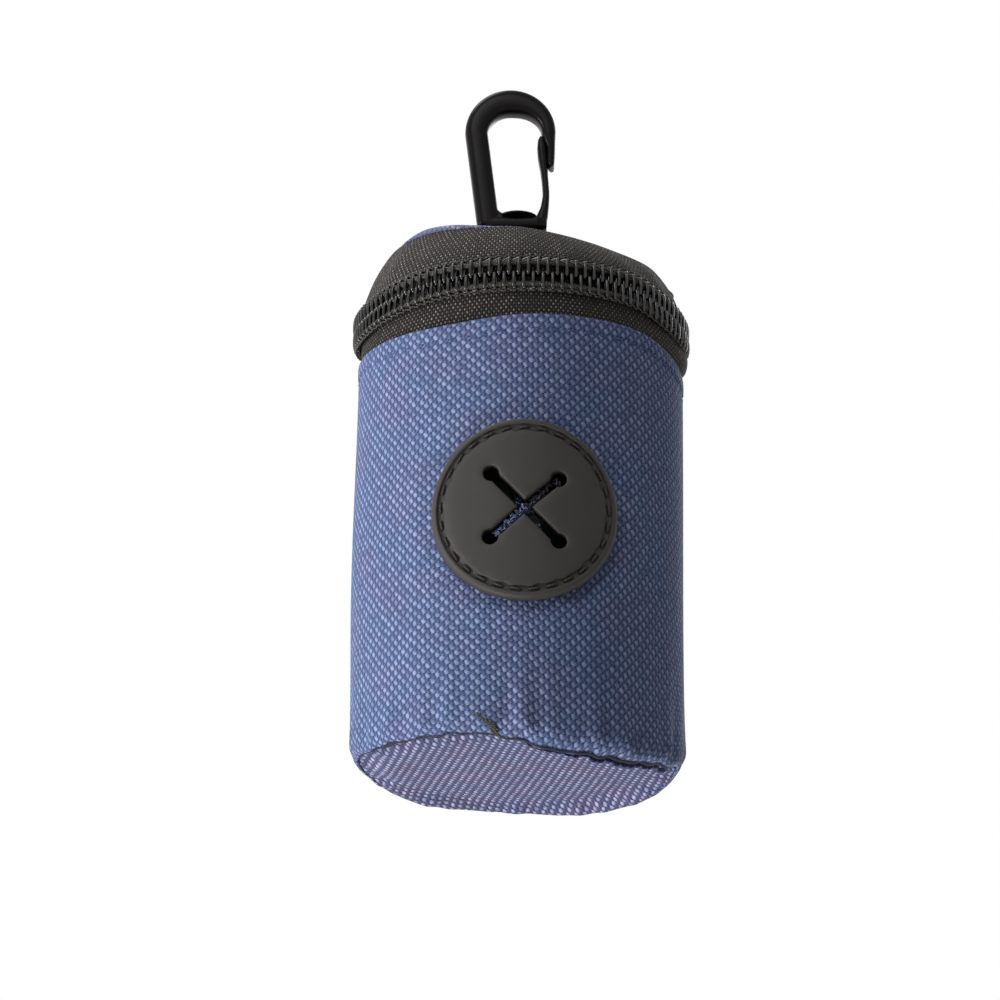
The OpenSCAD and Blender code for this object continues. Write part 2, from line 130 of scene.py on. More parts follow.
def gridFaces(rows, columns, rowsClosed=False, first=0):
    # quads between rings of points, and each corner's row and column
    i, j = (axis.ravel() for axis in np.indices((rows if rowsClosed else rows - 1, columns)))
    nextI, nextJ = (i + 1) % rows, (j + 1) % columns
    corners = [i * columns + j, i * columns + nextJ, nextI * columns + nextJ, nextI * columns + j]
    return np.stack(corners, 1) + first, np.stack([i, i, i + 1, i + 1], 1), np.stack([j, j + 1, j + 1, j], 1)


def ringFaces(rows, columns, first=0):
    return gridFaces(rows, columns, first=first)[0].tolist()


def loft(name, grid, sweepClosed=False):
    # a skin over sweep steps x points round, with ends where the sweep is open; UVs are lengths in mm
    grid = np.asarray(grid, float)
    rows, columns, _ = grid.shape
    faces, i, j = gridFaces(rows, columns, sweepClosed)
    along = np.linalg.norm(np.diff(grid, axis=0, append=grid[:1]), axis=2).mean(1)
    across = np.linalg.norm(np.diff(grid, axis=1, append=grid[:, :1]), axis=2).mean(0)
    u, v = (np.concatenate([[0], np.cumsum(lengths)]) for lengths in (along, across))
    points = grid.reshape(-1, 3)
    faces, uvs = faces.tolist(), np.stack([u[i], v[j]], -1).reshape(-1, 2)
    if not sweepClosed:
        ends = [list(range(columns)), list(range((rows - 1) * columns, rows * columns))]
        faces += ends
        uvs = np.concatenate([uvs, *[points[end][:, [0, 2]] for end in ends]])
    return newPiece(name, points, faces, uvs)


def tubes(name, paths, radius, sides=8, taper=0.35):
    # round threads or wires along the paths, with narrowed closed ends
    allPoints, allFaces, allUvs, first = [], [], [], 0
    turn = np.linspace(0, 2 * np.pi, sides, endpoint=False)
    for path, thickness in zip(paths, radius if isinstance(radius, list) else [radius] * len(paths)):
        path = np.asarray(path, float)
        count = len(path)
        tangent = np.gradient(path, axis=0)
        tangent /= np.linalg.norm(tangent, axis=1)[:, None]
        side = np.cross(tangent[0], [0.31, 0.2, 0.93])
        size = np.broadcast_to(thickness, count).astype(float).copy()
        size[[0, -1]] *= taper
        for k in range(count):
            side = side - tangent[k] * np.dot(side, tangent[k])
            side /= np.linalg.norm(side)
            other = np.cross(tangent[k], side)
            allPoints.append(path[k] + size[k] * (np.cos(turn)[:, None] * side + np.sin(turn)[:, None] * other))
        length = np.concatenate([[0], np.cumsum(np.linalg.norm(np.diff(path, axis=0), axis=1))])
        faces, i, j = gridFaces(count, sides, first=first)
        allFaces += faces.tolist()
        allUvs.append(np.stack([length[i], j / sides * 2 * np.pi * np.mean(size)], -1).reshape(-1, 2))
        for row in (0, count - 1):
            allFaces.append([first + row * sides + s for s in range(sides)])
            allUvs.append(np.zeros((sides, 2)))
        first += count * sides
    return newPiece(name, np.concatenate(allPoints), allFaces, np.concatenate(allUvs))


def bar(name, path, width, depth, power, sides, deep=(0, 1, 0)):
    # a rounded bar whose depth lies along one axis and whose width lies across the path
    path, deep = np.asarray(path, float), np.asarray(deep, float)
    tangent = np.gradient(path, axis=0)
    tangent /= np.linalg.norm(tangent, axis=1)[:, None]
    wide = np.cross(tangent, deep)
    wide /= np.linalg.norm(wide, axis=1)[:, None]
    turn = np.linspace(0, 2 * np.pi, sides, endpoint=False)
    c, s = (np.sign(part) * np.abs(part) ** (2 / power) for part in (np.cos(turn), np.sin(turn)))
    width, depth = (np.broadcast_to(size, len(path))[:, None, None] / 2 for size in (width, depth))
    return loft(name, path[:, None] + width * c[None, :, None] * wide[:, None] + depth * s[None, :, None] * deep)


def shell(name, bearings, rows, thickness):
    # a sheet of even thickness through rows of (radius, z)
    outer, inner = ([turned(r - deep, bearings, z) for r, z in rows] for deep in (0, thickness))
    return loft(name, np.stack(outer + inner[::-1], 1))


def hoop(name, bearings, radius, height, halfWidth, halfHeight):
    # a closed ring of rounded section
    turns = np.linspace(0, 2 * np.pi, 14, endpoint=False)
    rings = [turned(radius + halfWidth * np.cos(t), bearings, height + halfHeight * np.sin(t)) for t in turns]
    return loft(name, np.stack(rings, 1), sweepClosed=True)


def applied(piece):
    # the piece with its modifiers made part of its mesh
    mesh = bpy.data.meshes.new_from_object(piece.evaluated_get(bpy.context.evaluated_depsgraph_get()))
    piece.modifiers.clear()
    old, piece.data = piece.data, mesh
    mesh.name = piece.name
    bpy.data.meshes.remove(old)
    return piece


def moulded(name, parts, voxel, rounds):
    # overlapping parts melted into one smooth moulding
    bpy.ops.object.select_all(action="DESELECT")
    for part in parts:
        part.select_set(True)
    piece = bpy.context.view_layer.objects.active = parts[0]
    bpy.ops.object.join()
    piece.name = name
    remesh = piece.modifiers.new("melt", "REMESH")
    remesh.mode, remesh.voxel_size, remesh.use_smooth_shade = "VOXEL", voxel / 1000, True
    soften = piece.modifiers.new("soften", "SMOOTH")
    soften.factor, soften.iterations = 0.5, rounds
    return applied(piece)


def cut(piece, cutter):
    tool = piece.modifiers.new("cut", "BOOLEAN")
    tool.operation, tool.solver, tool.object = "DIFFERENCE", "EXACT", cutter
    applied(piece)


def dressed(piece, body, material, slot, *nodes):
    piece.data.materials.clear()
    piece.data.materials.append(material)
    if isinstance(body, str):
        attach(piece, body)
    else:
        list(body)
        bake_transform(piece)
    if nodes:
        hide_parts(*nodes)
    return piece


# Materials


def colour(hexCode):
    parts = [int(hexCode[i : i + 2], 16) / 255 for i in (1, 3, 5)]
    return tuple(p / 12.92 if p <= 0.04045 else ((p + 0.055) / 1.055) ** 2.4 for p in parts) + (1,)


def plug(node, inputs):
    # a node or socket is linked, and anything else is set on the node's own socket
    for name, value in inputs.items():
        if isinstance(value, bpy.types.Node):
            value = value.outputs[2 if value.type == "MIX" else 0]
        if isinstance(value, bpy.types.NodeSocket):
            node.id_data.links.new(value, node.inputs[name])
        else:
            node.inputs[name].default_value = value
    return node


def addNode(tree, kind, inputs={}, **settings):
    node = tree.nodes.new("ShaderNode" + kind)
    for name, value in settings.items():
        setattr(node, name, value)
    return plug(node, inputs)


def startMaterial(name):
    # the material, a way to add its nodes, and its shader
    material = bpy.data.materials.new(name)
    material.use_nodes = True
    material.node_tree.nodes.clear()

    def add(kind, inputs={}, **settings):
        return addNode(material.node_tree, kind, inputs, **settings)

    shader = add("BsdfPrincipled")
    add("OutputMaterial", {"Surface": shader})
    return material, add, shader


def surfaced(start, share, tones, height, depth, strength, looks):
    # two tones mixed by share, relief from height with its depth in metres, and the shader's other looks
    material, add, shader = start
    mixed = add("Mix", {0: share, 6: colour(tones[0]), 7: colour(tones[1])}, data_type="RGBA")
    relief = add("Bump", {"Height": height, "Distance": depth, "Strength": strength})
    plug(shader, {"Base Color": mixed, "Normal": relief, **looks})
    return material


driftWidth = 2.381  # mm over which neighbouring yarns wander


def weavePattern(add, place, cellU, cellV, wander, lean=0.0, lengths=None):
    # plain weave from lengths in mm: height of the yarn on top, and of the upright yarn alone
    noise = add("TexNoise", {"Vector": place, "Scale": 1000 / driftWidth, "Detail": 2.0})
    split = add("SeparateXYZ", {0: lengths or add("UVMap", uv_map="cloth")})
    stray = add("SeparateColor", {0: noise.outputs["Color"]})
    axes = []
    for index, cell in enumerate((cellU, cellV)):
        straight = add("Math", {0: split.outputs[index], 1: cell}, operation="DIVIDE")
        drift = add("Math", {0: stray.outputs[index], 1: wander, 2: -wander / 2}, operation="MULTIPLY_ADD")
        axes.append(add("Math", {0: straight, 1: drift}, operation="ADD"))
    along = add("Math", {0: axes[1]}, operation="FRACT")
    slant = add("Math", {0: along, 1: 0.5}, operation="SUBTRACT")
    axes[0] = add("Math", {0: slant, 1: lean, 2: axes[0]}, operation="MULTIPLY_ADD")
    heights = []
    for yarn, run, sign in ((axes[0], axes[1], 0.5), (axes[1], axes[0], -0.5)):
        part = add("Math", {0: yarn}, operation="FRACT")
        offset = add("Math", {0: part, 1: 0.5}, operation="SUBTRACT")
        square = add("Math", {0: offset, 1: offset}, operation="MULTIPLY")
        crown = add("Math", {0: square, 1: -3.4, 2: 0.85}, operation="MULTIPLY_ADD")
        number = add("Math", {0: yarn}, operation="FLOOR")
        phase = add("Math", {0: run, 1: number}, operation="ADD")
        angle = add("Math", {0: phase, 1: math.pi, 2: -math.pi / 2}, operation="MULTIPLY_ADD")
        over = add("Math", {0: angle}, operation="COSINE")
        heights.append(add("Math", {0: over, 1: sign, 2: crown}, operation="MULTIPLY_ADD"))
    return add("Math", {0: heights[0], 1: heights[1]}, operation="MAXIMUM"), heights[0]


oxfordCloth = {
    "threadGap": 0.86,  # mm between neighbouring yarns
    "stretch": 1.0,  # how much wider apart the cross yarns lie
    "wander": 0.5,  # how unevenly they lie, in yarns
    "lean": 0.32,  # slant of each knot, in yarns along its length
    "knotEdge": 0.2,  # height at which a knot begins; lower makes larger knots
    # valley is painted shade between the yarns, knot is a painted highlight on their crowns
    "tones": ("#1f2846", "#455378", "#929fc4"),  # valley, ground and knot
    "speckWidth": 1.316,  # mm between brighter knots
    "cloudWidth": 7.69,  # mm across the patches where the dye leans to violet
}
baseCloth = {**oxfordCloth, "threadGap": 0.78, "stretch": 1.5, "lean": 0.3, "knotEdge": 0.4}
# paler knots and a greyer ground than the wall's cloth
baseCloth["tones"] = ("#26294a", "#4b4e72", "#b9b8d4")
# a darker copy of the base cloth: painted shade in the recess under the seam
shadedFoldCloth = {**baseCloth, "stretch": 1.0, "tones": ("#181d38", "#2b3154", "#747ba6")}
# a paler, softer copy of the oxford for the lid: painted light from the top
litLipCloth = {**oxfordCloth, "threadGap": 0.75, "knotEdge": 0.5, "tones": ("#51577a", "#6c7394", "#a0a6c0")}


def wovenCloth(name, spec):
    # Coated polyester oxford: upright yarns catch light, painted as staggered pale knots (painted highlight), on a
    # duller ground that darkens into the valleys between yarns as painted shade
    material, add, shader = startMaterial(name)
    place = add("TexCoord").outputs["Object"]
    gap, tones = spec["threadGap"], [colour(tone) for tone in spec["tones"]]
    top, warp = weavePattern(add, place, gap, gap * spec["stretch"], spec["wander"], spec["lean"])
    level, crown = (
        add("MapRange", {"Value": height, "From Min": low, "From Max": high}, interpolation_type="SMOOTHSTEP")
        for height, low, high in ((top, 0.12, 0.95), (warp, spec["knotEdge"], 1.25))
    )
    blotch = add("TexNoise", {"Vector": place, "Scale": 1000 / spec["speckWidth"], "Detail": 2.0})
    speck = add("MapRange", {"Value": blotch, "From Min": 0.36, "From Max": 0.64, "To Min": 0.42, "To Max": 1.05})
    share = add("Math", {0: crown, 1: speck}, operation="MULTIPLY", use_clamp=True)
    # painted shade: the ground darkens towards the valley tone where the yarns lie low
    ground = add("Mix", {0: level, 6: tones[0], 7: tones[1]}, data_type="RGBA")
    # painted highlight: the knot tone on the upright yarns' crowns
    knotted = add("Mix", {0: share, 6: ground, 7: tones[2]}, data_type="RGBA")
    cloud = add("TexNoise", {"Vector": place, "Scale": 1000 / spec["cloudWidth"], "Detail": 2.0})
    patch = add("MapRange", {"Value": cloud, "From Min": 0.4, "From Max": 0.6})
    tint = add("Mix", {0: patch, 6: (0.95, 1.01, 1.03, 1), 7: (1.07, 0.97, 0.99, 1)}, data_type="RGBA")
    tinted = add("Mix", {0: 1.0, 6: knotted, 7: tint}, data_type="RGBA", blend_type="MULTIPLY")
    rough = add("MapRange", {"Value": level, "To Min": 0.9, "To Max": 0.66})
    relief = add("Bump", {"Height": top, "Distance": 0.00013, "Strength": 0.9})
    plug(shader, {"Base Color": tinted, "Roughness": rough, "Specular IOR Level": 0.15, "Normal": relief})
    return material


glintLength = 0.769  # mm that a painted glint runs along a tape


def ribbedTape(name, ribGap, low, high, depth):
    # Woven polyester tape: fine ribs across it, with short painted glints on its rib crowns over a dark ground
    start = _, add, _ = startMaterial(name)
    place = add("TexCoord").outputs["Object"]
    top, warp = weavePattern(add, place, ribGap * 0.64, ribGap * 0.86, 0.7)
    level = add("MapRange", {"Value": warp, "From Min": 0.9, "From Max": 1.3}, interpolation_type="SMOOTHSTEP")
    noise = add("TexNoise", {"Vector": place, "Scale": 1000 / glintLength, "Detail": 2.0})
    speck = add("MapRange", {"Value": noise, "From Min": 0.42, "From Max": 0.66, "To Min": 0.22, "To Max": 1.0})
    body = add("MapRange", {"Value": top, "From Min": 0.4, "From Max": 1.3, "To Min": 0.0, "To Max": 0.05})
    # painted glints where the upright yarns rise, and a faint painted highlight on every rib
    share = add("Math", {0: level, 1: speck, 2: body}, operation="MULTIPLY_ADD", use_clamp=True)
    return surfaced(start, share, (low, high), top, depth, 0.9, {"Roughness": 0.75, "Specular IOR Level": 0.18})


flowWidth = 6.25  # mm across a flow mark


def mouldedPlastic(name, base, worn, roughness, specular, grain, grainSize):
    # Moulded acetal, nylon or rubber: even colour, faint flow marks, a fine grain that breaks up the gloss
    start = _, add, _ = startMaterial(name)
    place = add("TexCoord").outputs["Object"]
    cloud = add("TexNoise", {"Vector": place, "Scale": 1000 / flowWidth, "Detail": 3.0})
    gloss = add("MapRange", {"Value": cloud, "To Min": roughness * 0.85, "To Max": roughness * 1.15})
    fine = add("TexNoise", {"Vector": place, "Scale": 1000 / grainSize, "Detail": 2.0})
    looks = {"Roughness": gloss, "Specular IOR Level": specular}
    return surfaced(start, cloud, (base, worn), fine, grain / 1000, 1.0, looks)


plyGap = 0.5712  # mm between the plies of a thread, drawn coarse enough to show


def twistedThread(name, low, high):
    # Polyester sewing thread: plies twisted round each other, so slanted light and dark bands, painted as
    # highlight and shade along the twist
    start = _, add, _ = startMaterial(name)
    spiral = {"Vector": add("UVMap", uv_map="cloth"), "Scale": math.pi / 5 / plyGap, "Distortion": 0.4}
    twist = add("TexWave", spiral, bands_direction="DIAGONAL").outputs["Fac"]
    return surfaced(start, twist, (low, high), twist, 0.00006, 0.8, {"Roughness": 0.6, "Specular IOR Level": 0.3})


def wovenSolid(name, base, light, cell, depth):
    # Woven tape on a plain solid: the same weave laid along the object's own axes, lighter on the yarn crowns as a
    # painted highlight
    start = _, add, _ = startMaterial(name)
    place = add("TexCoord").outputs["Object"]
    lengths = add("VectorMath", {0: place, "Scale": 1000.0}, operation="SCALE")  # metres to mm
    top, _ = weavePattern(add, place, cell, cell, 0.3, lengths=lengths)
    level = add("MapRange", {"Value": top, "From Min": 0.35, "From Max": 1.3}, interpolation_type="SMOOTHSTEP")
    return surfaced(start, level, (base, light), top, depth, 0.8, {"Roughness": 0.8, "Specular IOR Level": 0.25})


rubbedWidth = 1.4286  # mm across a rubbed patch


def enamelledZinc(name):
    # Black enamel on die-cast zinc: satin paint, rubbed through to dull metal on the sharpest edges
    start = _, add, _ = startMaterial(name)
    place = add("TexCoord").outputs["Object"]
    blotch = add("TexNoise", {"Vector": place, "Scale": 1000 / rubbedWidth, "Detail": 4.0})
    pointed = add("NewGeometry").outputs["Pointiness"]
    edge = add("MapRange", {"Value": pointed, "From Min": 0.53, "From Max": 0.6})
    rubbed = add("Math", {0: edge, 1: blotch}, operation="MULTIPLY")
    worn = add("MapRange", {"Value": rubbed, "From Min": 0.3, "From Max": 0.55})
    looks = {"Metallic": worn, "Roughness": add("MapRange", {"Value": blotch, "To Min": 0.3, "To Max": 0.44})}
    return surfaced(start, worn, ("#151416", "#8b8a86"), blotch, 0.00002, 1.0, looks)


def streaked(name, sizes, detail, tones, depth, looks):
    # streaks of the given sizes in mm along each axis, for colour and relief
    start = _, add, _ = startMaterial(name)
    drawn = add("Mapping", {"Vector": add("TexCoord").outputs["Object"], "Scale": [1000 / size for size in sizes]})
    streak = add("TexNoise", {"Vector": drawn, "Scale": 1.0, "Detail": detail})
    return surfaced(start, streak, tones, streak, depth, 1.0, looks)


blueOxford = wovenCloth("woven polyester oxford", oxfordCloth)
litLipOxford = wovenCloth("woven polyester oxford, worn on the lid", litLipCloth)
baseOxford = wovenCloth("woven polyester oxford, with paler knots on the base", baseCloth)
shadedFoldOxford = wovenCloth("woven polyester oxford, folded into the seam", shadedFoldCloth)
zipTape = ribbedTape("ribbed polyester zip tape", 0.63, "#080706", "#a29a92", 0.00016)
greyLining = ribbedTape("thin woven polyester lining", 0.4, "#1c1e26", "#5b6072", 0.00008)
blackTape = ribbedTape("woven binding tape, black", 0.5, "#0c0c0d", "#34322f", 0.0001)
webbing = ribbedTape("coarse polyester webbing", 1.15, "#0c0c0d", "#3d3b39", 0.0003)
solidTape = wovenSolid("woven binding tape, black, on the seams", "#0c0c0d", "#2c2b2a", 0.5, 0.0001)
coilNylon = mouldedPlastic("drawn nylon filament", "#080706", "#100e0c", 0.13, 0.5, 0.003, 0.3)
discRubber = mouldedPlastic("moulded rubber, satin", "#373533", "#403e3b", 0.55, 0.22, 0.006, 0.25)
hookAcetal = mouldedPlastic("moulded acetal, satin", "#0d0b0a", "#141110", 0.27, 0.085, 0.003, 0.4)
navyThread = twistedThread("polyester thread, navy", "#25305a", "#5a6a9c")
blackThread = twistedThread("polyester thread, black", "#090908", "#35322c")
tuftThread = twistedThread("frayed binding, black with an olive cast", "#0d0e0b", "#55564a")
# near-black binding colour on a cord that also stands for the seam's shadow: painted shade
seamBindingAndShadow = twistedThread("seam binding with painted seam shadow, near black", "#0b0d18", "#20243a")
zipThread = twistedThread("filament sewing thread, black", "#0a0908", "#55504a")
zipEnamel = enamelledZinc("black enamelled zinc")
# Thin polyethylene film wound on itself: slightly milky, soft gloss, fine wrinkles across the winding
filmStreaks, filmTones = (1.111, 1.111, 8.333), ("#2c5640", "#47785c")
filmLooks = {"Roughness": 0.36, "Subsurface Weight": 0.15, "Subsurface Radius": (0.0006, 0.0008, 0.0006)}
bagFilm = streaked("polyethylene bag film, green", filmStreaks, 3.0, filmTones, 0.00012, filmLooks)
# Unbleached cardboard: pale brown fibres and a faint spiral of the winding
boardFibres, boardTones = (0.625, 0.625, 0.2604), ("#8a6a48", "#c0a078")
coreBoard = streaked("wound cardboard", boardFibres, 4.0, boardTones, 0.00008, {"Roughness": 0.85})
print("materials made")


# The wall: hemmed cloth with puckers at the bottom seam

wallCloth = {
    "thickness": 0.9,
    "hem": [
        (-180, -0.3), (-137, -0.7), (-110, -0.7), (-90, 0), (-63, 0.2), (-45, -0.1), (-25, -1.8),
        (-4, -3.1), (20, -1.2), (40, 0), (140, 0),
    ],
    "stitchDrop": 2.8,  # hem edge to its stitches
    # taper by the hem
    "topLean": [(-180, -1.0), (-135, -0.6), (-90, 0), (-40, 0.1), (0, 0.25), (60, 0), (120, 0)],
    "footFlare": [(-180, -0.2), (-90, 0.0), (0, -0.25), (90, 0.1)],
    "seamRadius": [
        (-180, 26.1), (-152, 26.5), (-129, 26.3), (-100, 25.5), (-78, 24.6), (-60, 24.3), (-40, 24.9),
        (-18, 25.9), (0, 25.9), (30, 25.7), (60, 26.0), (110, 25.6), (155, 25.5),
    ],
    "seamHeight": [
        (-180, 0.8), (-152, 0.1), (-112, -0.1), (-98, -0.5), (-84, -2.0), (-65, -2.7), (-42, -2.7),
        (-20, -1.6), (0, -0.1), (12, -0.3), (26, -1.3), (45, -2.0), (66, -2.1), (92, -1.3),
        (112, -1.2), (130, -1.3), (150, -0.1), (166, 0.7),
    ],
    "seamRipple": (0.09, 0.05),  # how far the seam waves up and down, and how much more at the front
    "turnUp": 3.1,  # height over which the wall rounds into the seam
    "pucker": 0.3,
    "pleat": 0.45,  # one deeper fold at the front right of the foot
    "softness": 0.07,  # how far the face wanders in and out
    "pressedOut": 0.22,  # swell of the cloth round the disc
    "pressedIn": 0.16,  # and how far the disc's seam draws it in
    "sewnRise": 0.12,  # the doubled hem stands out
    "stitchDent": 0.2,  # and its stitches pull it in
    "edgeRound": 0.45,  # radius of its folded edge
}
outletX, outletZ = (outletLow[0] + outletHigh[0]) / 2, (outletLow[2] + outletHigh[2]) / 2
outletRadius = (outletHigh[2] - outletLow[2]) / 2
ripples = [(count, rng.uniform(0, 360), rng.uniform(0.5, 1)) for count in (13, 19, 29, 41)]
dents = [(count, rng.uniform(0, 360), rng.uniform(-2.5, 2.5)) for count in (2, 3, 5, 7)]


def rippled(bearing, shift=0):
    return sum(size * wave(count * bearing + phase + shift) for count, phase, size in ripples)


def hemEdge(bearing):
    return hemHeight + around(wallCloth["hem"], bearing)


def seamHeight(bearing):
    even, front = wallCloth["seamRipple"]
    depth = even + front * wave(np.asarray(bearing, float) + 90)
    return around(wallCloth["seamHeight"], bearing) + depth * rippled(bearing)


def seamRadius(bearing):
    return around(wallCloth["seamRadius"], bearing)


def wallFace(bearing, z):
    # outer face of the cloth above the rounded foot
    up = z / hemHeight
    radius = wallRadius + around(wallCloth["topLean"], bearing) * eased(up, 0.3, 1.0)
    radius = radius + around(wallCloth["footFlare"], bearing) * (1 - eased(up, 0.0, 0.7))
    softness = sum(np.cos(np.radians(count * bearing + phase) + lean * z / 30) for count, phase, lean in dents)
    across = wallRadius * np.sin(np.radians(np.mod(bearing + 270, 360) - 180)) - outletX
    distance = np.hypot(across, z - outletZ)
    front = wave(bearing + 90) > 0
    nearDisc = np.where(front, 1 - eased(distance, outletRadius - 1, outletRadius + 9), 0)
    radius = radius + wallCloth["softness"] * softness * (1 - nearDisc) * (1 - bump(bearing, 90, 30))
    past = distance - outletRadius
    pressed = wallCloth["pressedOut"] * bump(past, 3.2, 2.2) - wallCloth["pressedIn"] * bump(past, 0.3, 1.3)
    rise = z - around(wallCloth["seamHeight"], bearing)
    folds = wallCloth["pucker"] * rippled(bearing) * np.exp(-rise / 5.5) * eased(rise, -0.5, 2.5)
    pleat = bump(bearing, -49 + rise * 0.5, 2.2) - 1.2 * bump(bearing, -45.5 + rise * 0.5, 1.4)
    pleat = wallCloth["pleat"] * pleat * np.exp(-rise / 3.5) * eased(rise, -0.5, 1.5)
    return radius + np.where(front, pressed, 0) + folds + pleat


def footTuck(bearing, z, rise):
    # how far the cloth has turned in under the wall's face
    inset = np.maximum(wallFace(bearing, z) - seamRadius(bearing), 0.2)
    turn = np.clip(1 - rise / wallCloth["turnUp"], 0, 1)
    return inset * (1 - np.sqrt(1 - turn**2))


def wallGrid(bearings, depth, rows, floorLift=0.0, topDrop=0.0, raised=True):
    # rows of points up a face that lies depth inside the cloth's outer face
    grid, edgeRound = [], wallCloth["edgeRound"]
    foot, hem = seamHeight(bearings) + floorLift, hemEdge(bearings)
    start, end = backWindow
    inBack = eased(bearings, start - 0.7, start + 0.7) * (1 - eased(bearings, end - 0.7, end + 0.7))
    top = hem + (backTop - hem) * (inBack if raised else 0) - topDrop
    for t in rows:
        z = foot + (top - foot) * t
        drop, edge = hem - z, np.minimum(top - z, edgeRound)
        dent = wallCloth["stitchDent"] * bump(drop, wallCloth["stitchDrop"], 0.42)
        sewn = wallCloth["sewnRise"] * eased(drop, 3.2, 2.4) * eased(drop, 0.0, 0.8) - dent
        fold = edgeRound - np.sqrt(np.maximum(edgeRound**2 - (edgeRound - edge) ** 2, 0))
        radius = wallFace(bearings, z) - footTuck(bearings, z, z - foot) + (1 - inBack) * sewn - fold
        grid.append(turned(radius - depth, bearings, z))
    return grid


allRound = np.linspace(-130, 230, 480, endpoint=False)
stretches = [(0, 0.045, 10), (0.045, 0.93, 52), (0.93, 1, 22)]  # fine at the foot and at the hem
outerRows = np.unique(np.concatenate([np.linspace(*stretch) for stretch in stretches]))
thickness = wallCloth["thickness"]
wallProfile = wallGrid(allRound, 0, outerRows) + wallGrid(allRound, thickness, np.linspace(0.995, 0.012, 26))
wall = loft("wall_cloth", np.stack(wallProfile, 1), sweepClosed=True)

slotArms = [(41.1, 7.3), (133.4, 7.8), (221.8, 7.4), (314.6, 7.8)]  # slant in degrees and reach in mm
clothSlot = (1.9, 1.55)  # width of the arms and radius of the holes in the cloth behind the disc
cutReach = (-40, -15)  # y of the cut's ends, before and behind the front of the wall


def aimed(angle):
    return np.array([math.cos(angle), math.sin(angle)])


def crossOutline(width, hole, grow=0.0, arcSteps=14):
    # outline of an X with a round hole at the end of each arm, in the plane of the disc
    half, radius = width / 2 + grow, hole + grow
    meet = math.asin(min(half / radius, 0.999))
    points = []
    for (slant, reach), (after, _) in zip(slotArms, slotArms[1:] + slotArms[:1]):
        aim, between = math.radians(slant), math.radians((after - slant) % 360) / 2
        way, side = aimed(aim), aimed(aim + math.pi / 2)
        start = half * 1.12
        straight = reach - radius * math.cos(meet) - start
        edge = [way * (start + straight * k / 6) for k in range(6)]
        swings = np.linspace(meet - math.pi, math.pi - meet, arcSteps + 1)
        points += [point - side * half for point in edge]
        points += [way * (reach + radius * math.cos(a)) + side * radius * math.sin(a) for a in swings]
        points += [point + side * half for point in edge[::-1]]
        points.append(aimed(aim + between) * half / math.sin(between))
    return np.array(points)


flat = crossOutline(*clothSlot)
ends = [np.stack([flat[:, 0] + outletX, np.full(len(flat), y), flat[:, 1] + outletZ], 1) for y in cutReach]
cutter = loft("cutter", ends)
cut(wall, cutter)
wall.data.polygons.foreach_set("use_smooth", [True] * len(wall.data.polygons))
dressed(wall, "pouch", blueOxford, "blue_oxford", "wall_panel")
print("wall made")


# Bottom: a cloth disc sewn into the wall, its binding just showing in the seam


def pad(name, lower, upper, flatMap):
    # closed pad between two sheets of rings, each from the rim inwards, with a point in the middle
    lower, upper = np.asarray(lower, float), np.asarray(upper, float)
    rings, count, _ = lower.shape
    size = rings * count
    middles = [lower[-1].mean(0), upper[-1].mean(0)]
    points = np.concatenate([lower.reshape(-1, 3), upper.reshape(-1, 3), middles])
    faces = ringFaces(rings, count) + ringFaces(rings, count, size)
    for k in range(count):
        follow = (k + 1) % count
        faces.append([k, follow, size + follow, size + k])
        for sheet in (0, 1):
            inner = sheet * size + (rings - 1) * count
            faces.append([inner + k, inner + follow, 2 * size + sheet])
    return newPiece(name, points, faces, [flatMap(*points[corner]) for face in faces for corner in face])


bottomCloth = {
    "thickness": 0.9,
    "grain": -24,  # degrees between its threads and the front
    "plane": -0.25,  # height of its flat middle
    "sag": 0.45,  # how far it hangs below that
    "seamGap": 0.15,
    "rimWidth": 5.0,  # width over which it rises or drops to the seam
    "recess": [
        (-180, 0.35), (-165, 0.6), (-120, 0.8), (-90, 1.0), (-50, 1.15), (-20, 0.9), (0, 0.3), (15, 0),
        (60, -0.05), (120, -0.05), (165, 0.05),
    ],
}


def bottomFace(share, bearings, lift):
    edge = seamRadius(bearings) - bottomCloth["seamGap"]
    seam = seamHeight(bearings) + around(bottomCloth["recess"], bearings)
    inward = eased((edge - edge * share) / bottomCloth["rimWidth"], 0, 1)
    sag = -bottomCloth["sag"] * (1 - share**2) + 0.18 * wave(2 * bearings + 60) * share
    z = seam * (1 - inward) + (bottomCloth["plane"] + sag) * inward
    return turned(edge * share, bearings, z + 0.1 * rippled(bearings, 40) * bump(share, 0.93, 0.06) + lift)


def turnedCloth(degrees):
    c, s = math.cos(math.radians(degrees)), math.sin(math.radians(degrees))
    return lambda x, y, z: (x * c + y * s, -x * s + y * c)


bottomRound = np.linspace(-180, 180, 240, endpoint=False)
shares = np.concatenate([np.linspace(1, 0.8, 14), np.linspace(0.78, 0.04, 22)])
bottomSheets = [[bottomFace(s, bottomRound, lift) for s in shares] for lift in (0, bottomCloth["thickness"])]
bottom = pad("bottom_cloth", *bottomSheets, turnedCloth(bottomCloth["grain"]))
dressed(bottom, "pouch", baseOxford, "blue_oxford", "bottom_panel")
side = 2 * wallRadius / 1000
area = math.pi * (wallRadius / 1000) ** 2

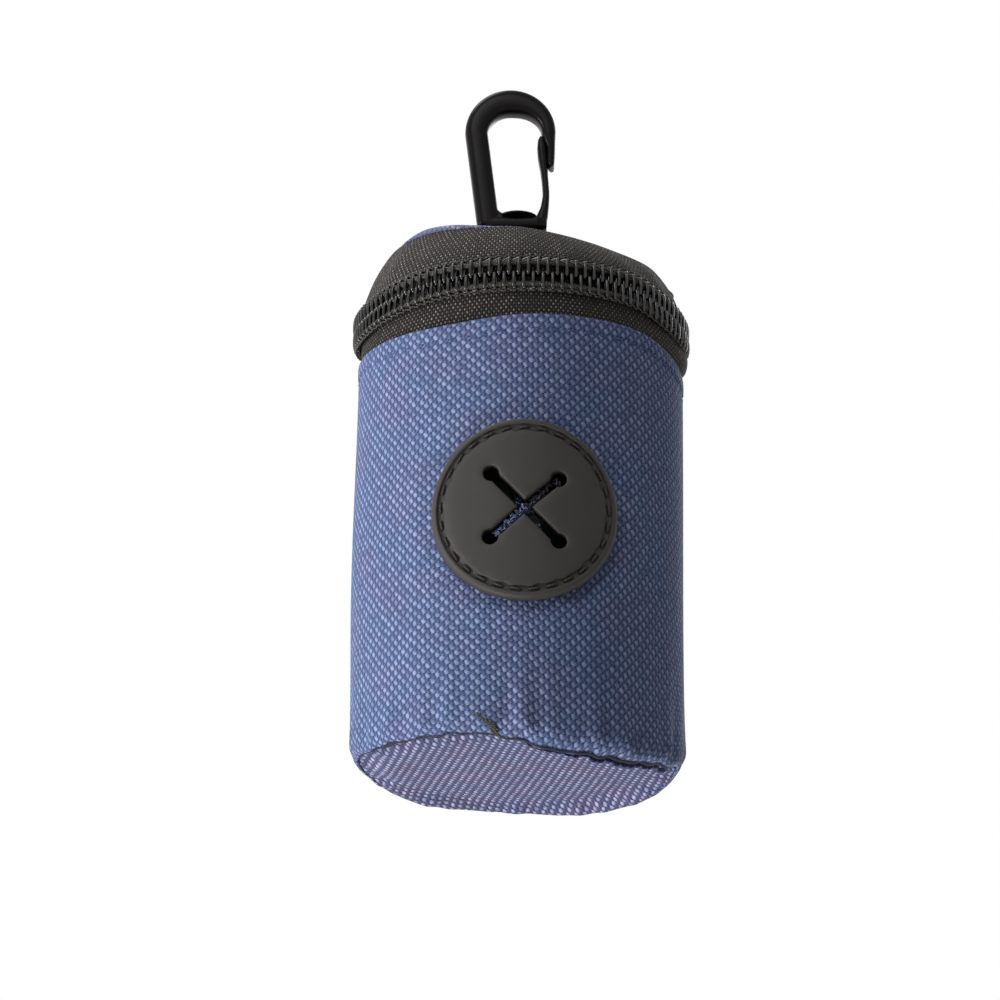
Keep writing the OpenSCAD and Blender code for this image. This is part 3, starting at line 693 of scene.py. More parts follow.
# The binding's edge, and the folded edge of the base behind it, where they show in the seam. Both are darker than
# the cloth round them and thicker where the seam's shadow falls: partly binding and fold, partly painted seam
# shadow
seamTrim = {
    "edgeSpan": (-154, -13),  # first and last bearing
    "edge": 0.24,  # half its thickness
    "edgeLumps": 0.16,  # how much thicker it is at two places on the left
    "edgeSwell": 0.22,  # how much it gains towards the front
    "edgeLoss": 0.16,  # and loses again at the right
    "foldSpan": (-88, -15),
    "fold": 0.12,
    "foldSwell": 0.34,
    "uneven": 0.05,
}
uneven = seamTrim["uneven"]
line = np.linspace(*seamTrim["edgeSpan"], 400)
size = seamTrim["edge"] + seamTrim["edgeLumps"] * (bump(line, -142, 5) + bump(line, -121, 4))
size = size + seamTrim["edgeSwell"] * eased(line, -112, -70)
size = size - seamTrim["edgeLoss"] * eased(line, -30, -8) + uneven * wave(23 * line)
height = seamHeight(line) + 0.12 + 0.06 * wave(47 * line) + 0.054 * wave(31 * line + 50)
path = turned(seamRadius(line) - 0.12 - size * 0.9, line, height)
# the binding's edge, widened into painted shade along the seam
dressed(tubes("seam_binding_edge_and_shadow", [path], size, taper=0.2), "pouch", seamBindingAndShadow, "black_binding")
line = np.linspace(*seamTrim["foldSpan"], 160)
size = seamTrim["fold"] + seamTrim["foldSwell"] * eased(line, -86, -45) + uneven * wave(37 * line)
height = seamHeight(line) - 0.3 - 0.35 * size + 0.08 * wave(29 * line)
path = turned(seamRadius(line) - 0.85 - size, line, height)
# the base's folded edge, in the darker copy of the oxford as painted shade
dressed(tubes("seam_fold_painted_shade", [path], size, taper=0.3), "pouch", shadedFoldOxford, "blue_oxford")

footTape = {"in": 2.2, "up": 2.6, "lowest": 1.3, "half": (0.75, 1.0)}  # rolled tape inside the seam
radius = seamRadius(bottomRound) - footTape["in"]
height = np.maximum(seamHeight(bottomRound) + footTape["up"], footTape["lowest"])
footBinding = hoop("foot_binding", bottomRound, radius, height, *footTape["half"])
dressed(footBinding, "pouch", blackTape, "black_binding", "bottom_binding")

# A frayed end of the binding, with its ends as bearing and height
tuftSpec = {"from": (-104.0, 2.6), "to": (-97.6, -0.4), "stray": (0.55, 0.32), "strands": 46, "size": 0.12}
strands = []
for k in range(tuftSpec["strands"]):
    t = (k / (tuftSpec["strands"] - 1)) ** 0.7
    spread = rng.normal(0, 1, 2)
    wide = 0.25 + 0.75 * float(eased(t, 0.35, 0.8))
    path = []
    for step in np.linspace(-0.16, 0.16, 6):
        place = min(max(t + step, 0), 1)
        bearing, z = (a * (1 - place) + b * place for a, b in zip(tuftSpec["from"], tuftSpec["to"]))
        bearing, z = (a + by * stray * wide for a, by, stray in zip((bearing, z), spread, tuftSpec["stray"]))
        tuck = footTuck(bearing, z, max(z - seamHeight(bearing), 0))
        lift = 0.02 + 0.2 * wide * (1 - (step / 0.17) ** 2)
        path.append(turned(wallFace(bearing, z) - tuck + lift, bearing, z))
    strands.append(path)
dressed(tubes("seam_tuft", strands, tuftSpec["size"], sides=6), "pouch", tuftThread, "black_binding")
print("bottom made")


# Stitches in the hem

hemThread = {"count": 59, "length": 2.0, "size": 0.2, "lift": 0.12, "sink": 0.35}


def stitched(name, spec, spots, node, body="pouch", material=blackThread, slot="black_thread"):
    # arched stitches: each spot turns an offset in mm, a height and a stray into a point
    paths = []
    for spot in spots:
        longer, stray = rng.normal(0, 0.05, 2)
        path = []
        for t in np.linspace(-1, 1, 7):
            height = spec["lift"] * (1 - t * t) - spec["sink"] * t**4
            path.append(spot(t * spec["length"] / 2 * (1 + longer), height, stray * t))
        paths.append(path)
    dressed(tubes(name, paths, spec["size"]), body, material, slot, node)


def hemSpot(middle):
    def at(offset, height, stray):
        bearing = middle + math.degrees(offset / wallRadius)
        z = hemEdge(bearing) - wallCloth["stitchDrop"] + stray
        return turned(wallFace(bearing, z) - 0.2 + height, bearing, z)

    return at


spots = [hemSpot(-90 + k * 360 / hemThread["count"]) for k in range(hemThread["count"])]
stitched("hem_thread", hemThread, spots, "hem_stitches", material=navyThread, slot="navy_thread")


# Rubber outlet: curved to the wall, with a stitched groove and an X slot

outlet = {
    "slotWidth": 1.7,
    "hole": 1.32,  # radius of the hole at each end of the slot
    "lip": 0.3,  # how far the slot's edge is rounded
    "grooveRadius": 13.55,
    "grooveUp": 0.05,  # how far the groove sits above the rim's middle
    "seatDrop": 0.2,  # the disc sits this much low against its slot
    "grooveDepth": 0.5,
    "thickness": -outletLow[1] - wallRadius,
    "sides": 160,
}


def filled(outer, hole, gap):
    # points on and between two outlines, a gap apart, and the triangles that join them
    flat = np.concatenate([outer, hole])
    edges, first = [], 0
    for count in (len(outer), len(hole)):
        edges += [(first + k, first + (k + 1) % count) for k in range(count)]
        first += count

    def within(loop, x, y):
        hit = False
        for (x0, y0), (x1, y1) in zip(loop, np.roll(loop, -1, axis=0)):
            if (y0 > y) != (y1 > y) and x < (x1 - x0) * (y - y0) / (y1 - y0) + x0:
                hit = not hit
        return hit

    def between(x, y):
        return within(outer, x, y) and not within(hole, x, y)

    low, high = outer.min(0), outer.max(0)
    spare = []
    for x in np.arange(low[0] + gap / 2, high[0], gap):
        for y in np.arange(low[1] + gap / 2, high[1], gap):
            if np.min(np.hypot(flat[:, 0] - x, flat[:, 1] - y)) > 0.55 * gap and between(x, y):
                spare.append((x, y))
    points = [Vector(p) for p in flat.tolist() + spare]
    out = delaunay_2d_cdt(points, edges, [], 0, 1e-6)
    triangles = []
    for face in out[2]:
        if between(*(sum((out[0][k] for k in face), Vector((0, 0))) / len(face))):
            triangles.append([out[3][k][0] for k in face])
    return np.array([tuple(p) for p in points]), triangles


def onOutlet(flat, height):
    x = outletX + flat[..., 0]
    return np.stack([x, -np.sqrt((wallRadius + height) ** 2 - x**2), outletZ + flat[..., 1]], -1)


sides, groove, thick, depth = (outlet[key] for key in ("sides", "grooveRadius", "thickness", "grooveDepth"))
turn = np.linspace(0, 2 * np.pi, sides, endpoint=False)
unit = np.stack([np.cos(turn), np.sin(turn)], 1)
# the groove's lips run a little uneven
wobble = 0.13 * np.sin(29 * turn + 1) + 0.07 * np.sin(11 * turn) + 0.05 * np.sin(47 * turn + 2)
lipUnit = unit * (1 + wobble[:, None] / groove)
# radius and height of each ring from the back of the rim to the inner lip, and how far it moves with the groove
profile = [
    (outletRadius, 0.0, 0),
    (outletRadius, thick - 0.55, 0),
    (outletRadius - 0.08, thick - 0.28, 0),
    (outletRadius - 0.28, thick - 0.08, 0.1),
    (outletRadius - 0.55, thick, 0.3),
    (groove + 0.74, thick, 0.9),
    (groove + 0.6, thick - 0.06, 1),
    (groove + 0.5, thick - depth * 0.6, 1),
    (groove + 0.28, thick - depth, 1),
    (groove - 0.28, thick - depth, 1),
    (groove - 0.5, thick - depth * 0.6, 1),
    (groove - 0.6, thick - 0.06, 1),
    (groove - 0.76, thick, 1),
]
ringPlans = [
    (lipUnit if radius < groove - 0.3 else unit) * radius + [0, outlet["grooveUp"] * share - outlet["seatDrop"]]
    for radius, _, share in profile
]
slot = {grow: crossOutline(outlet["slotWidth"], outlet["hole"], grow) for grow in (0.0, 0.1, outlet["lip"])}
slotRows = [(outlet["lip"], thick), (0.1, thick - 0.08), (0.0, thick - 0.3), (0.0, thick * 0.5), (0.0, 0.0)]
rings = [onOutlet(plan, height) for plan, (_, height, _) in zip(ringPlans, profile)]
rings += [onOutlet(slot[grow], height) for grow, height in slotRows]
points = np.concatenate(rings)
slotCount, slotStart = len(slot[0.0]), len(profile) * sides
faces = ringFaces(len(profile), sides) + ringFaces(len(slotRows), slotCount, slotStart)
for outer, hole, gap, height, firstOuter, firstHole in (
    (ringPlans[-1], slot[outlet["lip"]], 1.1, thick, slotStart - sides, slotStart),
    (ringPlans[0], slot[0.0], 1.6, 0.0, 0, slotStart + (len(slotRows) - 1) * slotCount),
):
    # front and back face, whose first points are rings already there
    flat, triangles = filled(outer, hole, gap)
    places = [*range(firstOuter, firstOuter + sides), *range(firstHole, firstHole + slotCount)]
    places += range(len(points), len(points) + len(flat) - len(places))
    points = np.concatenate([points, onOutlet(flat[sides + slotCount :], height)])
    faces += [[places[k] for k in triangle] for triangle in triangles]
dressed(newPiece("outlet_rubber", points, faces), "pouch", discRubber, "black_rubber", "outlet_disc")

discThread = {"count": 29, "length": 2.1, "size": 0.21, "lift": 0.14, "sink": 0.3}


def discSpot(middle):
    def at(offset, height, stray):
        flat = aimed(middle + offset / groove) * (groove + stray) + [0, outlet["grooveUp"] - outlet["seatDrop"]]
        return onOutlet(flat, thick - depth + 0.16 + height)

    return at


spots = [discSpot(math.pi / 2 + k * 2 * math.pi / discThread["count"]) for k in range(discThread["count"])]
stitched("outlet_thread", discThread, spots, "outlet_stitches")

fraySize = 0.12
fray = {
    # material, then for each arm's slant: threads, how far they rise, furthest place along the arm
    "slot_fray_blue": (
        twistedThread("frayed polyester filaments, blue", "#343f6c", "#939cc8"),
        {221.8: (80, 1.95, 6.2), 314.6: (5, 0.5, 4), 133.4: (3, 0.3, 3)},
    ),
    "slot_fray_grey": (
        twistedThread("frayed polyester filaments, grey", "#26242c", "#6a6575"),
        {41.1: (46, 1.5, 7)},
    ),
}
for name, (material, arms) in fray.items():
    threads = []
    for slant, (count, height, furthest) in arms.items():
        way, side = aimed(math.radians(slant)), aimed(math.radians(slant + 90))
        for k in range(count):
            along = rng.uniform(-0.4, furthest)
            start, end = rng.choice([-1, 1]) * 0.85, rng.uniform(-0.4, 0.5)
            top = height * rng.uniform(0.6, 1.0) * (1 - 0.45 * along / 7)
            path = []
            for t in np.linspace(0, 1, 7):
                reach = along + rng.normal(0, 0.05) + 0.8 * t * rng.uniform(0.4, 1)
                flat = way * reach + side * (start * (1 - t) + end * t)
                arch = math.sin(math.pi / 2 * min(t * 1.3, 1))
                path.append(onOutlet(flat, -0.5 + (top + 0.5) * arch - 0.3 * max(t - 0.75, 0)))
            threads.append(path)
    dressed(tubes(name, threads, fraySize, sides=6), "pouch", material, "blue_oxford")
print("outlet made")


# Zip: ribbed tapes and two rows of interlocking coil

zipSpec = {
    "rise": [
        (-230, 0), (-218, 0), (-201, 0), (-187, -0.8), (-165, -1.8), (-144, -1.3), (-120, -0.4), (-90, 0.1),
        (-60, 0), (-47, -0.3), (-29, -1.8), (-6, -2.9), (12, -1.6), (24, -0.3), (31, 0), (42, 0), (90, 0),
    ],
    "out": [
        (-180, -0.45), (-90, 0), (-30, 0.3), (-3, 0.75), (20, 0.3), (36, 0.05), (90, 0), (126, 0), (140, 0),
        (161, 0),
    ],
    "lowBulge": [(-180, 0), (-90, 0), (-42, 0.1), (-22, 0.5), (0, 1.1), (14, 0.8), (28, 0.1), (90, 0)],
    "tape": 0.5,  # thickness
    "tapeGap": 0.32,  # from the middle of the chain to each tape's edge
    "tuck": 6.5,  # how far the lower tape runs down behind the hem
    "pitch": 1.6,
    "wire": 0.33,
    "head": 0.24,  # how much thicker the wire is where the rows interlock
    "loopDepth": 0.47,
    "footShift": 0.24,  # how far each leg bends aside at its foot, in loops
    "overlap": 0.45,  # how far each row's heads pass the middle
    "partedAt": (36.8, -215.2),  # bearings of the slider's neck at both ends of its travel
    "parting": 0.8,  # how far each row draws back there
    "sewing": [0.5, 0.1, 0.13],  # thickness of the cord in the coil and of its two threads
}
zipRound = np.linspace(zipStart, zipEnd, 420)


def chainHeight(bearing):
    return chainMid + around(zipSpec["rise"], bearing)


def tapeFace(bearing, z):
    hem = hemEdge(bearing)
    behind = wallFace(bearing, np.minimum(z, hem)) - thickness - 0.06
    up = np.clip((z - hem) / (chainHeight(bearing) - hem), 0, 1)
    bulge = around(zipSpec["lowBulge"], bearing) * np.sin(np.pi * up)
    ring = tapeRadius + 0.1 + around(zipSpec["out"], bearing) + bulge
    return behind + (ring - behind) * eased(z - hem, -0.6, 2.0)


foot = hemEdge(zipRound) - zipSpec["tuck"]
heights = [foot + (chainHeight(zipRound) - zipSpec["tapeGap"] - foot) * t for t in np.linspace(0, 1, 22)]
lowerTape = shell("lower_tape", zipRound, [(tapeFace(zipRound, z), z) for z in heights], zipSpec["tape"])
dressed(lowerTape, "pouch", zipTape, "zip_tape", "lower_zip_tape")

wire, loopDepth = zipSpec["wire"], zipSpec["loopDepth"]
firstLoop, lastLoop = zipStart + 3.9, zipEnd - 3.9
loopCount = int(math.radians(lastLoop - firstLoop) * coilRadius / zipSpec["pitch"])
loopStep = (lastLoop - firstLoop) / loopCount


def coilPath(up, shift):
    # a flattened spiral: upright legs in front and behind, stepping on at the sewn foot
    phase = np.linspace(0, 2 * np.pi, 20, endpoint=False)
    behind = np.maximum(phase / np.pi - 1, 0)
    foot = np.maximum(1 - phase / 1.1, 0) ** 2 + np.maximum(1 - (2 * np.pi - phase) / 1.1, 0) ** 2
    lead = 0.05 * np.minimum(phase / np.pi, 1) + 0.3 * behind + 0.65 * eased(behind, 0.62, 1.0)
    lead = lead + zipSpec["footShift"] * foot + shift
    bearing = firstLoop + (np.arange(loopCount)[:, None] + lead) * loopStep
    fromNeck = np.min([abs(bearing - neck) for neck in zipSpec["partedAt"]], axis=0)
    reach = chainHalf - 2 * wire + zipSpec["overlap"] - zipSpec["parting"] * (1 - eased(fromNeck, 3.6, 7.5))
    height = wire - chainHalf + reach * (1 - np.cos(phase)) / 2
    swell = np.sign(np.sin(phase)) * abs(np.sin(phase)) ** 0.6
    radius = coilRadius - wire + loopDepth * (swell - 1) + around(zipSpec["out"], bearing)
    path = turned(radius, bearing, chainHeight(bearing) + up * height).reshape(-1, 3)
    return path, np.tile(wire * (0.92 + zipSpec["head"] * bump(phase, 2.75, 0.35)), loopCount)


def coilRow(name, up, shift, body, node):
    path, sizes = coilPath(up, shift)
    dressed(tubes(name, [path], [sizes], taper=0.6), body, coilNylon, "zip_coil", node)
    fine = np.linspace(firstLoop, lastLoop, loopCount * 10)
    middle, face = chainHeight(fine), coilRadius + around(zipSpec["out"], fine)
    beat = 2 * np.pi * ((fine - firstLoop) / loopStep - shift)
    arch = abs(np.cos(beat / 2))
    cord = turned(face - wire - loopDepth - 0.1, fine, middle - up * 1.9)
    cross = turned(face - 0.3 + 0.04 * np.cos(beat), fine, middle - up * (2.05 + 0.12 * np.sin(beat)))
    loops = turned(face - 0.66 + 0.06 * arch, fine, middle - up * (2.65 + 0.4 * arch))
    sewing = tubes(name + "_thread", [cord, cross, loops], zipSpec["sewing"], sides=6)
    dressed(sewing, body, zipThread, "black_thread")


coilRow("lower_coil", 1, 0.0, "pouch", "lower_zip_coil")
coilRow("upper_coil", -1, 0.5, "lid", "upper_zip_coil")
print("zip made")


# Lid: side tape leaning in to a soft rim, cloth top and fabric back

lidSpec = {
    "rimHeight": [
        (-180, -0.5), (-150, -0.4), (-136, -0.3), (-120, -0.6), (-105, -1.0), (-90, -1.2), (-75, -2.0),
        (-60, -2.7), (-45, -3.2), (-20, -3.4), (0, -3.3), (25, -2.2), (50, -1.0), (90, -1.0), (130, -1.0),
    ],
    "rimRadius": [
        (-180, 0), (-90, 0), (-60, 0.1), (-42, 0.4), (-20, 1.5), (0, 2.1), (28, 1.0), (50, 0), (90, 0), (130, 0),
    ],
    "lip": [
        (-180, -0.3), (-156, -0.25), (-147, 0.25), (-136, 0.8), (-120, 0.75), (-108, 0.35), (-98, 0.0),
        (-80, -0.2), (-60, -0.35), (0, -0.35), (40, 0.1), (60, 0.8), (120, 0.8), (150, 0.4),
    ],
    "upright": 3.1,  # height over which the side stands up from the zip
    "belly": 0.55,
    "dimple": 1.1,  # a soft fold at the right
    "crease": 0.1,
    "flat": 10.2,  # radius of the flat middle that carries the strap
    "lipWidth": 0.9,  # from the rim in to where the top begins to rise
    "cloth": 0.9,
}


def rimHeight(bearing):
    return lidTop + around(lidSpec["rimHeight"], bearing)


def rimRadius(bearing):
    return lidRadius + around(lidSpec["rimRadius"], bearing)


def lidSide(bearing, t, foot, footRadius):
    # from the foot at t = 0, upright at first, then over a soft belly to the rim at t = 1
    rise = rimHeight(bearing) - foot
    z = foot + rise * t
    lean = np.clip((rise * t - lidSpec["upright"]) / (rise - lidSpec["upright"]), 0, 1)
    radius = footRadius + (rimRadius(bearing) - footRadius) * lean
    radius = radius + lidSpec["belly"] * np.sin(np.pi * lean) ** 0.8 * eased(rise, 2, 6)
    fold = lidSpec["dimple"] * bump(bearing, 3, 4.5) * bump(z, lidTop - 4.9, 1.0)
    creases = lidSpec["crease"] * sum(wave(count * bearing + phase) for count, phase, _ in ripples[:2])
    return radius + fold + creases * np.sin(np.pi * lean), z


foot, footRadius = chainHeight(zipRound) + zipSpec["tapeGap"], tapeRadius + 0.1 + around(zipSpec["out"], zipRound)
steps = np.concatenate([np.linspace(0, 0.3, 8)[:-1], np.linspace(0.3, 1, 24)])
rows = [lidSide(zipRound, t, foot, footRadius) for t in steps]
upperTape = shell("upper_tape", zipRound, rows, zipSpec["tape"])
dressed(upperTape, "lid", zipTape, "zip_tape", "upper_zip_tape")

backRound = np.linspace(*backWindow, 100)
rows = [lidSide(backRound, t, chainMid + 0.3, wallRadius) for t in np.linspace(0, 1, 26)]
lidBack = shell("lid_back_cloth", backRound, rows, lidSpec["cloth"])
dressed(lidBack, "lid", blueOxford, "blue_oxford", "lid_back_panel")


def lidFace(share, bearings, drop):
    # top cloth, in from the lip and up to the flat middle
    rim, shoulder = rimRadius(bearings), rimHeight(bearings) + np.maximum(around(lidSpec["lip"], bearings), 0.05)
    lip = rim - lidSpec["lipWidth"]
    inner = np.clip((lip - rim * share) / (lip - lidSpec["flat"]), 0, 1)
    z = shoulder + (lidTop - shoulder) * (1 - (1 - inner) ** 1.7)
    return turned(rim * share, bearings, z + 0.12 * wave(3 * bearings + 20) * np.sin(np.pi * inner) - drop)


def lidLip(turn, bearings, drop):
    # the rounded lip from under the seam, turn 0, to the top, turn 1
    shown = around(lidSpec["lip"], bearings)
    lip = np.maximum(shown, 0.05)
    half, angle = lip / 2 + 0.12, math.radians(150 * turn - 60)
    depth = (0.42 - drop * 0.4) * eased(shown, -0.3, 0.3)
    radius = rimRadius(bearings) - 0.12 + depth * math.cos(angle) - drop * 0.3
    return turned(radius, bearings, rimHeight(bearings) + lip - half + (half - drop * 0.25) * math.sin(angle))


def unrolledLip(x, y, z):
    # the lip's drop below the top counts as more radius, so that the weave keeps its size over the edge
    radius = math.hypot(x, y)
    grow = 1 + max(lidTop - z, 0) / radius if radius > lidRadius - 1.5 else 1
    return x * grow, y * grow


lidRound = np.linspace(-180, 180, 300, endpoint=False)
shares = np.concatenate([np.linspace(0.965, 0.5, 20), np.linspace(0.46, 0.04, 12)])
under, top = (
    [lidLip(t, lidRound, drop) for t in np.linspace(0, 1, 9)] + [lidFace(s, lidRound, drop) for s in shares]
    for drop in (lidSpec["cloth"], 0)
)
lidCloth = pad("lid_cloth", under, top, unrolledLip)
dressed(lidCloth, "lid", litLipOxford, "blue_oxford", "lid_top")
side, area = 2 * (lidRadius + 1) / 1000, math.pi * ((lidRadius + 1) / 1000) ** 2
print("lid made")


# Lining, and the fabric hinge at the back

liningCloth = {"thickness": 0.6, "gap": 0.03, "floor": 2.2, "topDrop": 0.35}
depth = thickness + liningCloth["gap"]
shape = (liningCloth["floor"], liningCloth["topDrop"], False)
rows = np.linspace(0, 1, 26)
grid = wallGrid(allRound, depth, rows, *shape)
grid += wallGrid(allRound, depth + liningCloth["thickness"], rows[::-1] * 0.99 + 0.005, *shape)
lining = loft("wall_lining_cloth", np.stack(grid, 1), sweepClosed=True)
cut(lining, cutter)
dressed(lining, "pouch", greyLining, "grey_lining", "wall_lining")

(_, _, hingeFoot), (hingeHalf, hingeOut, hingeTop) = nodeBox("hinge_tape")
hingeSpan = math.degrees(math.asin(hingeHalf / hingeOut))
hingeBearings = np.linspace(90 - hingeSpan, 90 + hingeSpan, 60)
hingeTape = {
    "foldOut": 0.22,  # how far its outer face stands out where it bends
    "foldIn": 0.088,  # and its inner face
    "seat": 0.06,  # gap to the cloth
    "uneven": 0.12,  # waviness of its ends
    "halfBend": 1.2,  # half the span above and below its middle
}


def hingeRow(t, out, fold):
    z = hingeFoot + (hingeTop - hingeFoot) * t + hingeTape["uneven"] * wave(9 * hingeBearings) * (2 * t - 1)
    return turned(out + fold * bump(t, 0.5, 0.1), hingeBearings, z)


rows = np.linspace(0, 1, 30)
grid = [hingeRow(t, hingeOut, hingeTape["foldOut"]) for t in rows]
grid += [hingeRow(t, wallRadius + hingeTape["seat"], hingeTape["foldIn"]) for t in rows[::-1]]
hinge = loft("hinge_tape_cloth", np.stack(grid, 1))
hingeMiddle, halfBend = (hingeFoot + hingeTop) / 2, hingeTape["halfBend"]
hingeEnds = [(0, wallRadius / 1000, (hingeMiddle + side * halfBend) / 1000) for side in (-1, 1)]
dressed(hinge, ("pouch", "lid", *hingeEnds), blackTape, "black_binding", "hinge_tape")


# Lid lining and the binding of the lid's seam

lidInside = {"lining": 0.6, "bindingIn": 1.1, "bindingDown": 1.0, "bindingHalf": (0.75, 0.85)}
shares = np.concatenate([np.linspace(0.94, 0.5, 16), np.linspace(0.46, 0.04, 10)])
drop = lidSpec["cloth"] + 0.04
sheets = [[lidFace(s, lidRound, drop + more) for s in shares] for more in (lidInside["lining"], 0)]
lidLining = pad("lid_lining_cloth", *sheets, turnedCloth(0))
dressed(lidLining, "lid", greyLining, "grey_lining", "lid_lining")
side, area = 2 * lidRadius / 1000, math.pi * (lidRadius / 1000) ** 2

halfWidth, halfHeight = lidInside["bindingHalf"]
radius = rimRadius(lidRound) - lidInside["bindingIn"] - halfWidth
height = rimHeight(lidRound) - lidInside["bindingDown"] - halfHeight
lidBinding = hoop("lid_seam_binding", lidRound, radius, height, halfWidth, halfHeight)
dressed(lidBinding, "lid", blackTape, "black_binding", "lid_binding")


# Webbing loop sewn on the lid

strapLow, strapHigh = nodeBox("strap_loop")
strapMiddle = (strapLow[0] + strapHigh[0]) / 2
barZ = nodeBox("swivel_eye")[0][2] + 1.1
strapSpec = {
    "thickness": 1.0,
    "width": strapHigh[0] - strapLow[0],
    "neck": 1.85,  # half the loop's width
    "bend": (1.0, 0.9),  # width and height of the curve at its foot
    "seat": lidTop + 0.03,
}


def strapLine():
    half, neck, end = strapSpec["thickness"] / 2, strapSpec["neck"], strapHigh[1]
    z, archFoot = strapSpec["seat"] + half, barZ + 0.25
    bend, lift = strapSpec["bend"]
    left = [(y, z + 0.05 * math.sin(y * 1.7)) for y in np.linspace(-end, -neck - bend, 12)]
    for a in np.linspace(0.15, math.pi / 2, 6):
        left.append((bend * math.sin(a) - neck - bend, z + lift - lift * math.cos(a)))
    for a in np.linspace(0, math.pi / 2, 9):
        left.append((-neck * math.cos(a), archFoot + (strapHigh[2] - archFoot - half) * math.sin(a)))
    return [(strapMiddle, y, z) for y, z in left + [(-y, z) for y, z in left[-2::-1]]]


strap = bar("webbing_loop", strapLine(), strapSpec["thickness"], strapSpec["width"], 8, 40, (1, 0, 0))
dressed(strap, "lid", webbing, "black_webbing", "strap_loop")

strapThread = {"rows": (3.5, 5.6, 7.7), "count": 4, "pitch": 1.7}
strapThread.update(length=1.35, size=0.19, lift=0.14, sink=0.35)


def strapSpot(x, y):
    z = strapSpec["seat"] + strapSpec["thickness"] + 0.02
    return lambda offset, height, stray: (x + offset, y + stray, z + height)


count = strapThread["count"]
places = [strapMiddle + (k - (count - 1) / 2) * strapThread["pitch"] for k in range(count)]
spots = [strapSpot(x, side * row) for row in strapThread["rows"] for side in (-1, 1) for x in places]
stitched("webbing_thread", strapThread, spots, "strap_stitches", body="lid")
print("lid inside and strap made")


# Slider, pull and swivel eye: castings with softened edges, over the solids

# The stud's dome: height where it begins, and how much wider and flatter it is than its solid
studCap = {"from": 95.62, "wider": 0.16, "flatter": 0.72}
for node, name, body, material, slot, voxel, rounds in (
    ("zip_slider", "slider_casting", "slider", zipEnamel, "black_zip_metal", 0.13, 7),
    ("zip_pull", "pull_casting", "pull", zipEnamel, "black_zip_metal", 0.13, 7),
    ("swivel_eye", "eye_moulding", "eye", hookAcetal, "black_acetal", 0.14, 9),
):
    part = bpy.data.objects.new(name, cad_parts[node].data.copy())
    bpy.context.scene.collection.objects.link(part)
    casting = moulded(name, [part], voxel, rounds)
    for vertex in casting.data.vertices:
        rise = vertex.co.z * 1000 - studCap["from"]
        if body == "eye" and rise > 0:
            spread = 1 + studCap["wider"] * min(rise / 0.3, 1)
            z = (studCap["from"] + rise * studCap["flatter"]) / 1000
            vertex.co = (vertex.co.x * spread, vertex.co.y * spread, z)
    dressed(casting, body, material, slot, node)


# Snap hook: one moulded bow, leg and base, and its springy gate

hookLow, hookHigh = nodeBox("hook_frame")
hookSpec = {
    "depth": hookHigh[1] - hookLow[1],
    "centre": (-1.15, 111.15),
    "outer": 7.75,
    "legWidth": 3.9,
    "bowWidth": 4.4,
    "shoulderWidth": 2.5,
    "pointWidth": 1.45,
    "pointEnd": 104.9,
    "legFoot": (-4.9, 94.4),
    "base": (-6.5, 5.0, 93.45, 95.8),  # left, right, low and high
    "baseEnds": 0.28,  # how much it narrows at both ends
    # x and z inside the corner between leg and base, and the width there
    "corner": [(-4.6, 98.2, 1.2), (-4.05, 96.9, 1.5), (-3.3, 96.1, 1.6), (-2.2, 95.55, 1.4), (-0.6, 95.3, 0.9)],
    "bore": 1.6,
    "boreSpan": (90.0, 99.0),
    "voxel": 0.13,
}
hookDepth = hookSpec["depth"]


def flatPath(x, z):
    return np.stack([x, np.zeros(len(x)), z], 1)


def hookPath():
    (cx, cz), (footX, footZ) = hookSpec["centre"], hookSpec["legFoot"]
    outer, leg, shoulder = hookSpec["outer"], hookSpec["legWidth"], hookSpec["shoulderWidth"]
    t = np.linspace(0, 1, 16)[:-1]
    upLeg = (footX + (cx - outer + leg / 2 - footX) * t, footZ + (cz - footZ) * t, 0 * t + leg)
    t = np.linspace(0, 1, 34)
    angle = np.pi * (1 - t)
    width = leg + (hookSpec["bowWidth"] - leg) * np.sin(angle) + (shoulder - leg) * eased(t, 0.5, 1.0)
    radius = outer - width / 2
    overBow = (cx + radius * np.cos(angle), cz + radius * np.sin(angle), width)
    t = np.linspace(0, 1, 14)[1:]
    width = shoulder + (hookSpec["pointWidth"] - shoulder) * eased(t, 0, 0.55)
    width = width * (1 - 0.45 * eased(t, 0.88, 1.0))
    downPoint = (cx + outer - 0.25 * t - width / 2, cz + (hookSpec["pointEnd"] - cz) * t, width)
    x, z, width = np.concatenate([upLeg, overBow, downPoint], 1)
    return flatPath(x, z), width, hookDepth * (1 - 0.14 * eased(np.linspace(0, 1, len(x)), 0.75, 1.0))


bow = bar("hook_bow", *hookPath(), 3.2, 32)
left, right, low, high = hookSpec["base"]
basePath = flatPath(np.linspace(left, right, 16), np.full(16, (low + high) / 2))
narrowed = 1 - hookSpec["baseEnds"] * np.maximum(abs(np.linspace(-1, 1, 16)) - 0.8, 0) / 0.2
base = bar("hook_base", basePath, (high - low) * narrowed, hookDepth * narrowed, 3.6, 28)
x, z, width = np.array(hookSpec["corner"]).T
corner = bar("hook_corner", flatPath(x, z), width, hookDepth * 0.9, 2.6, 24)
hook = moulded("hook_moulding", [bow, base, corner], hookSpec["voxel"], 14)
turns = np.linspace(0, 360, 48, endpoint=False)
bore = loft("bore", [turned(hookSpec["bore"], turns, z) for z in hookSpec["boreSpan"]])
cut(hook, bore)
bpy.data.objects.remove(bore)
dressed(hook, "hook", hookAcetal, "black_acetal", "hook_frame")

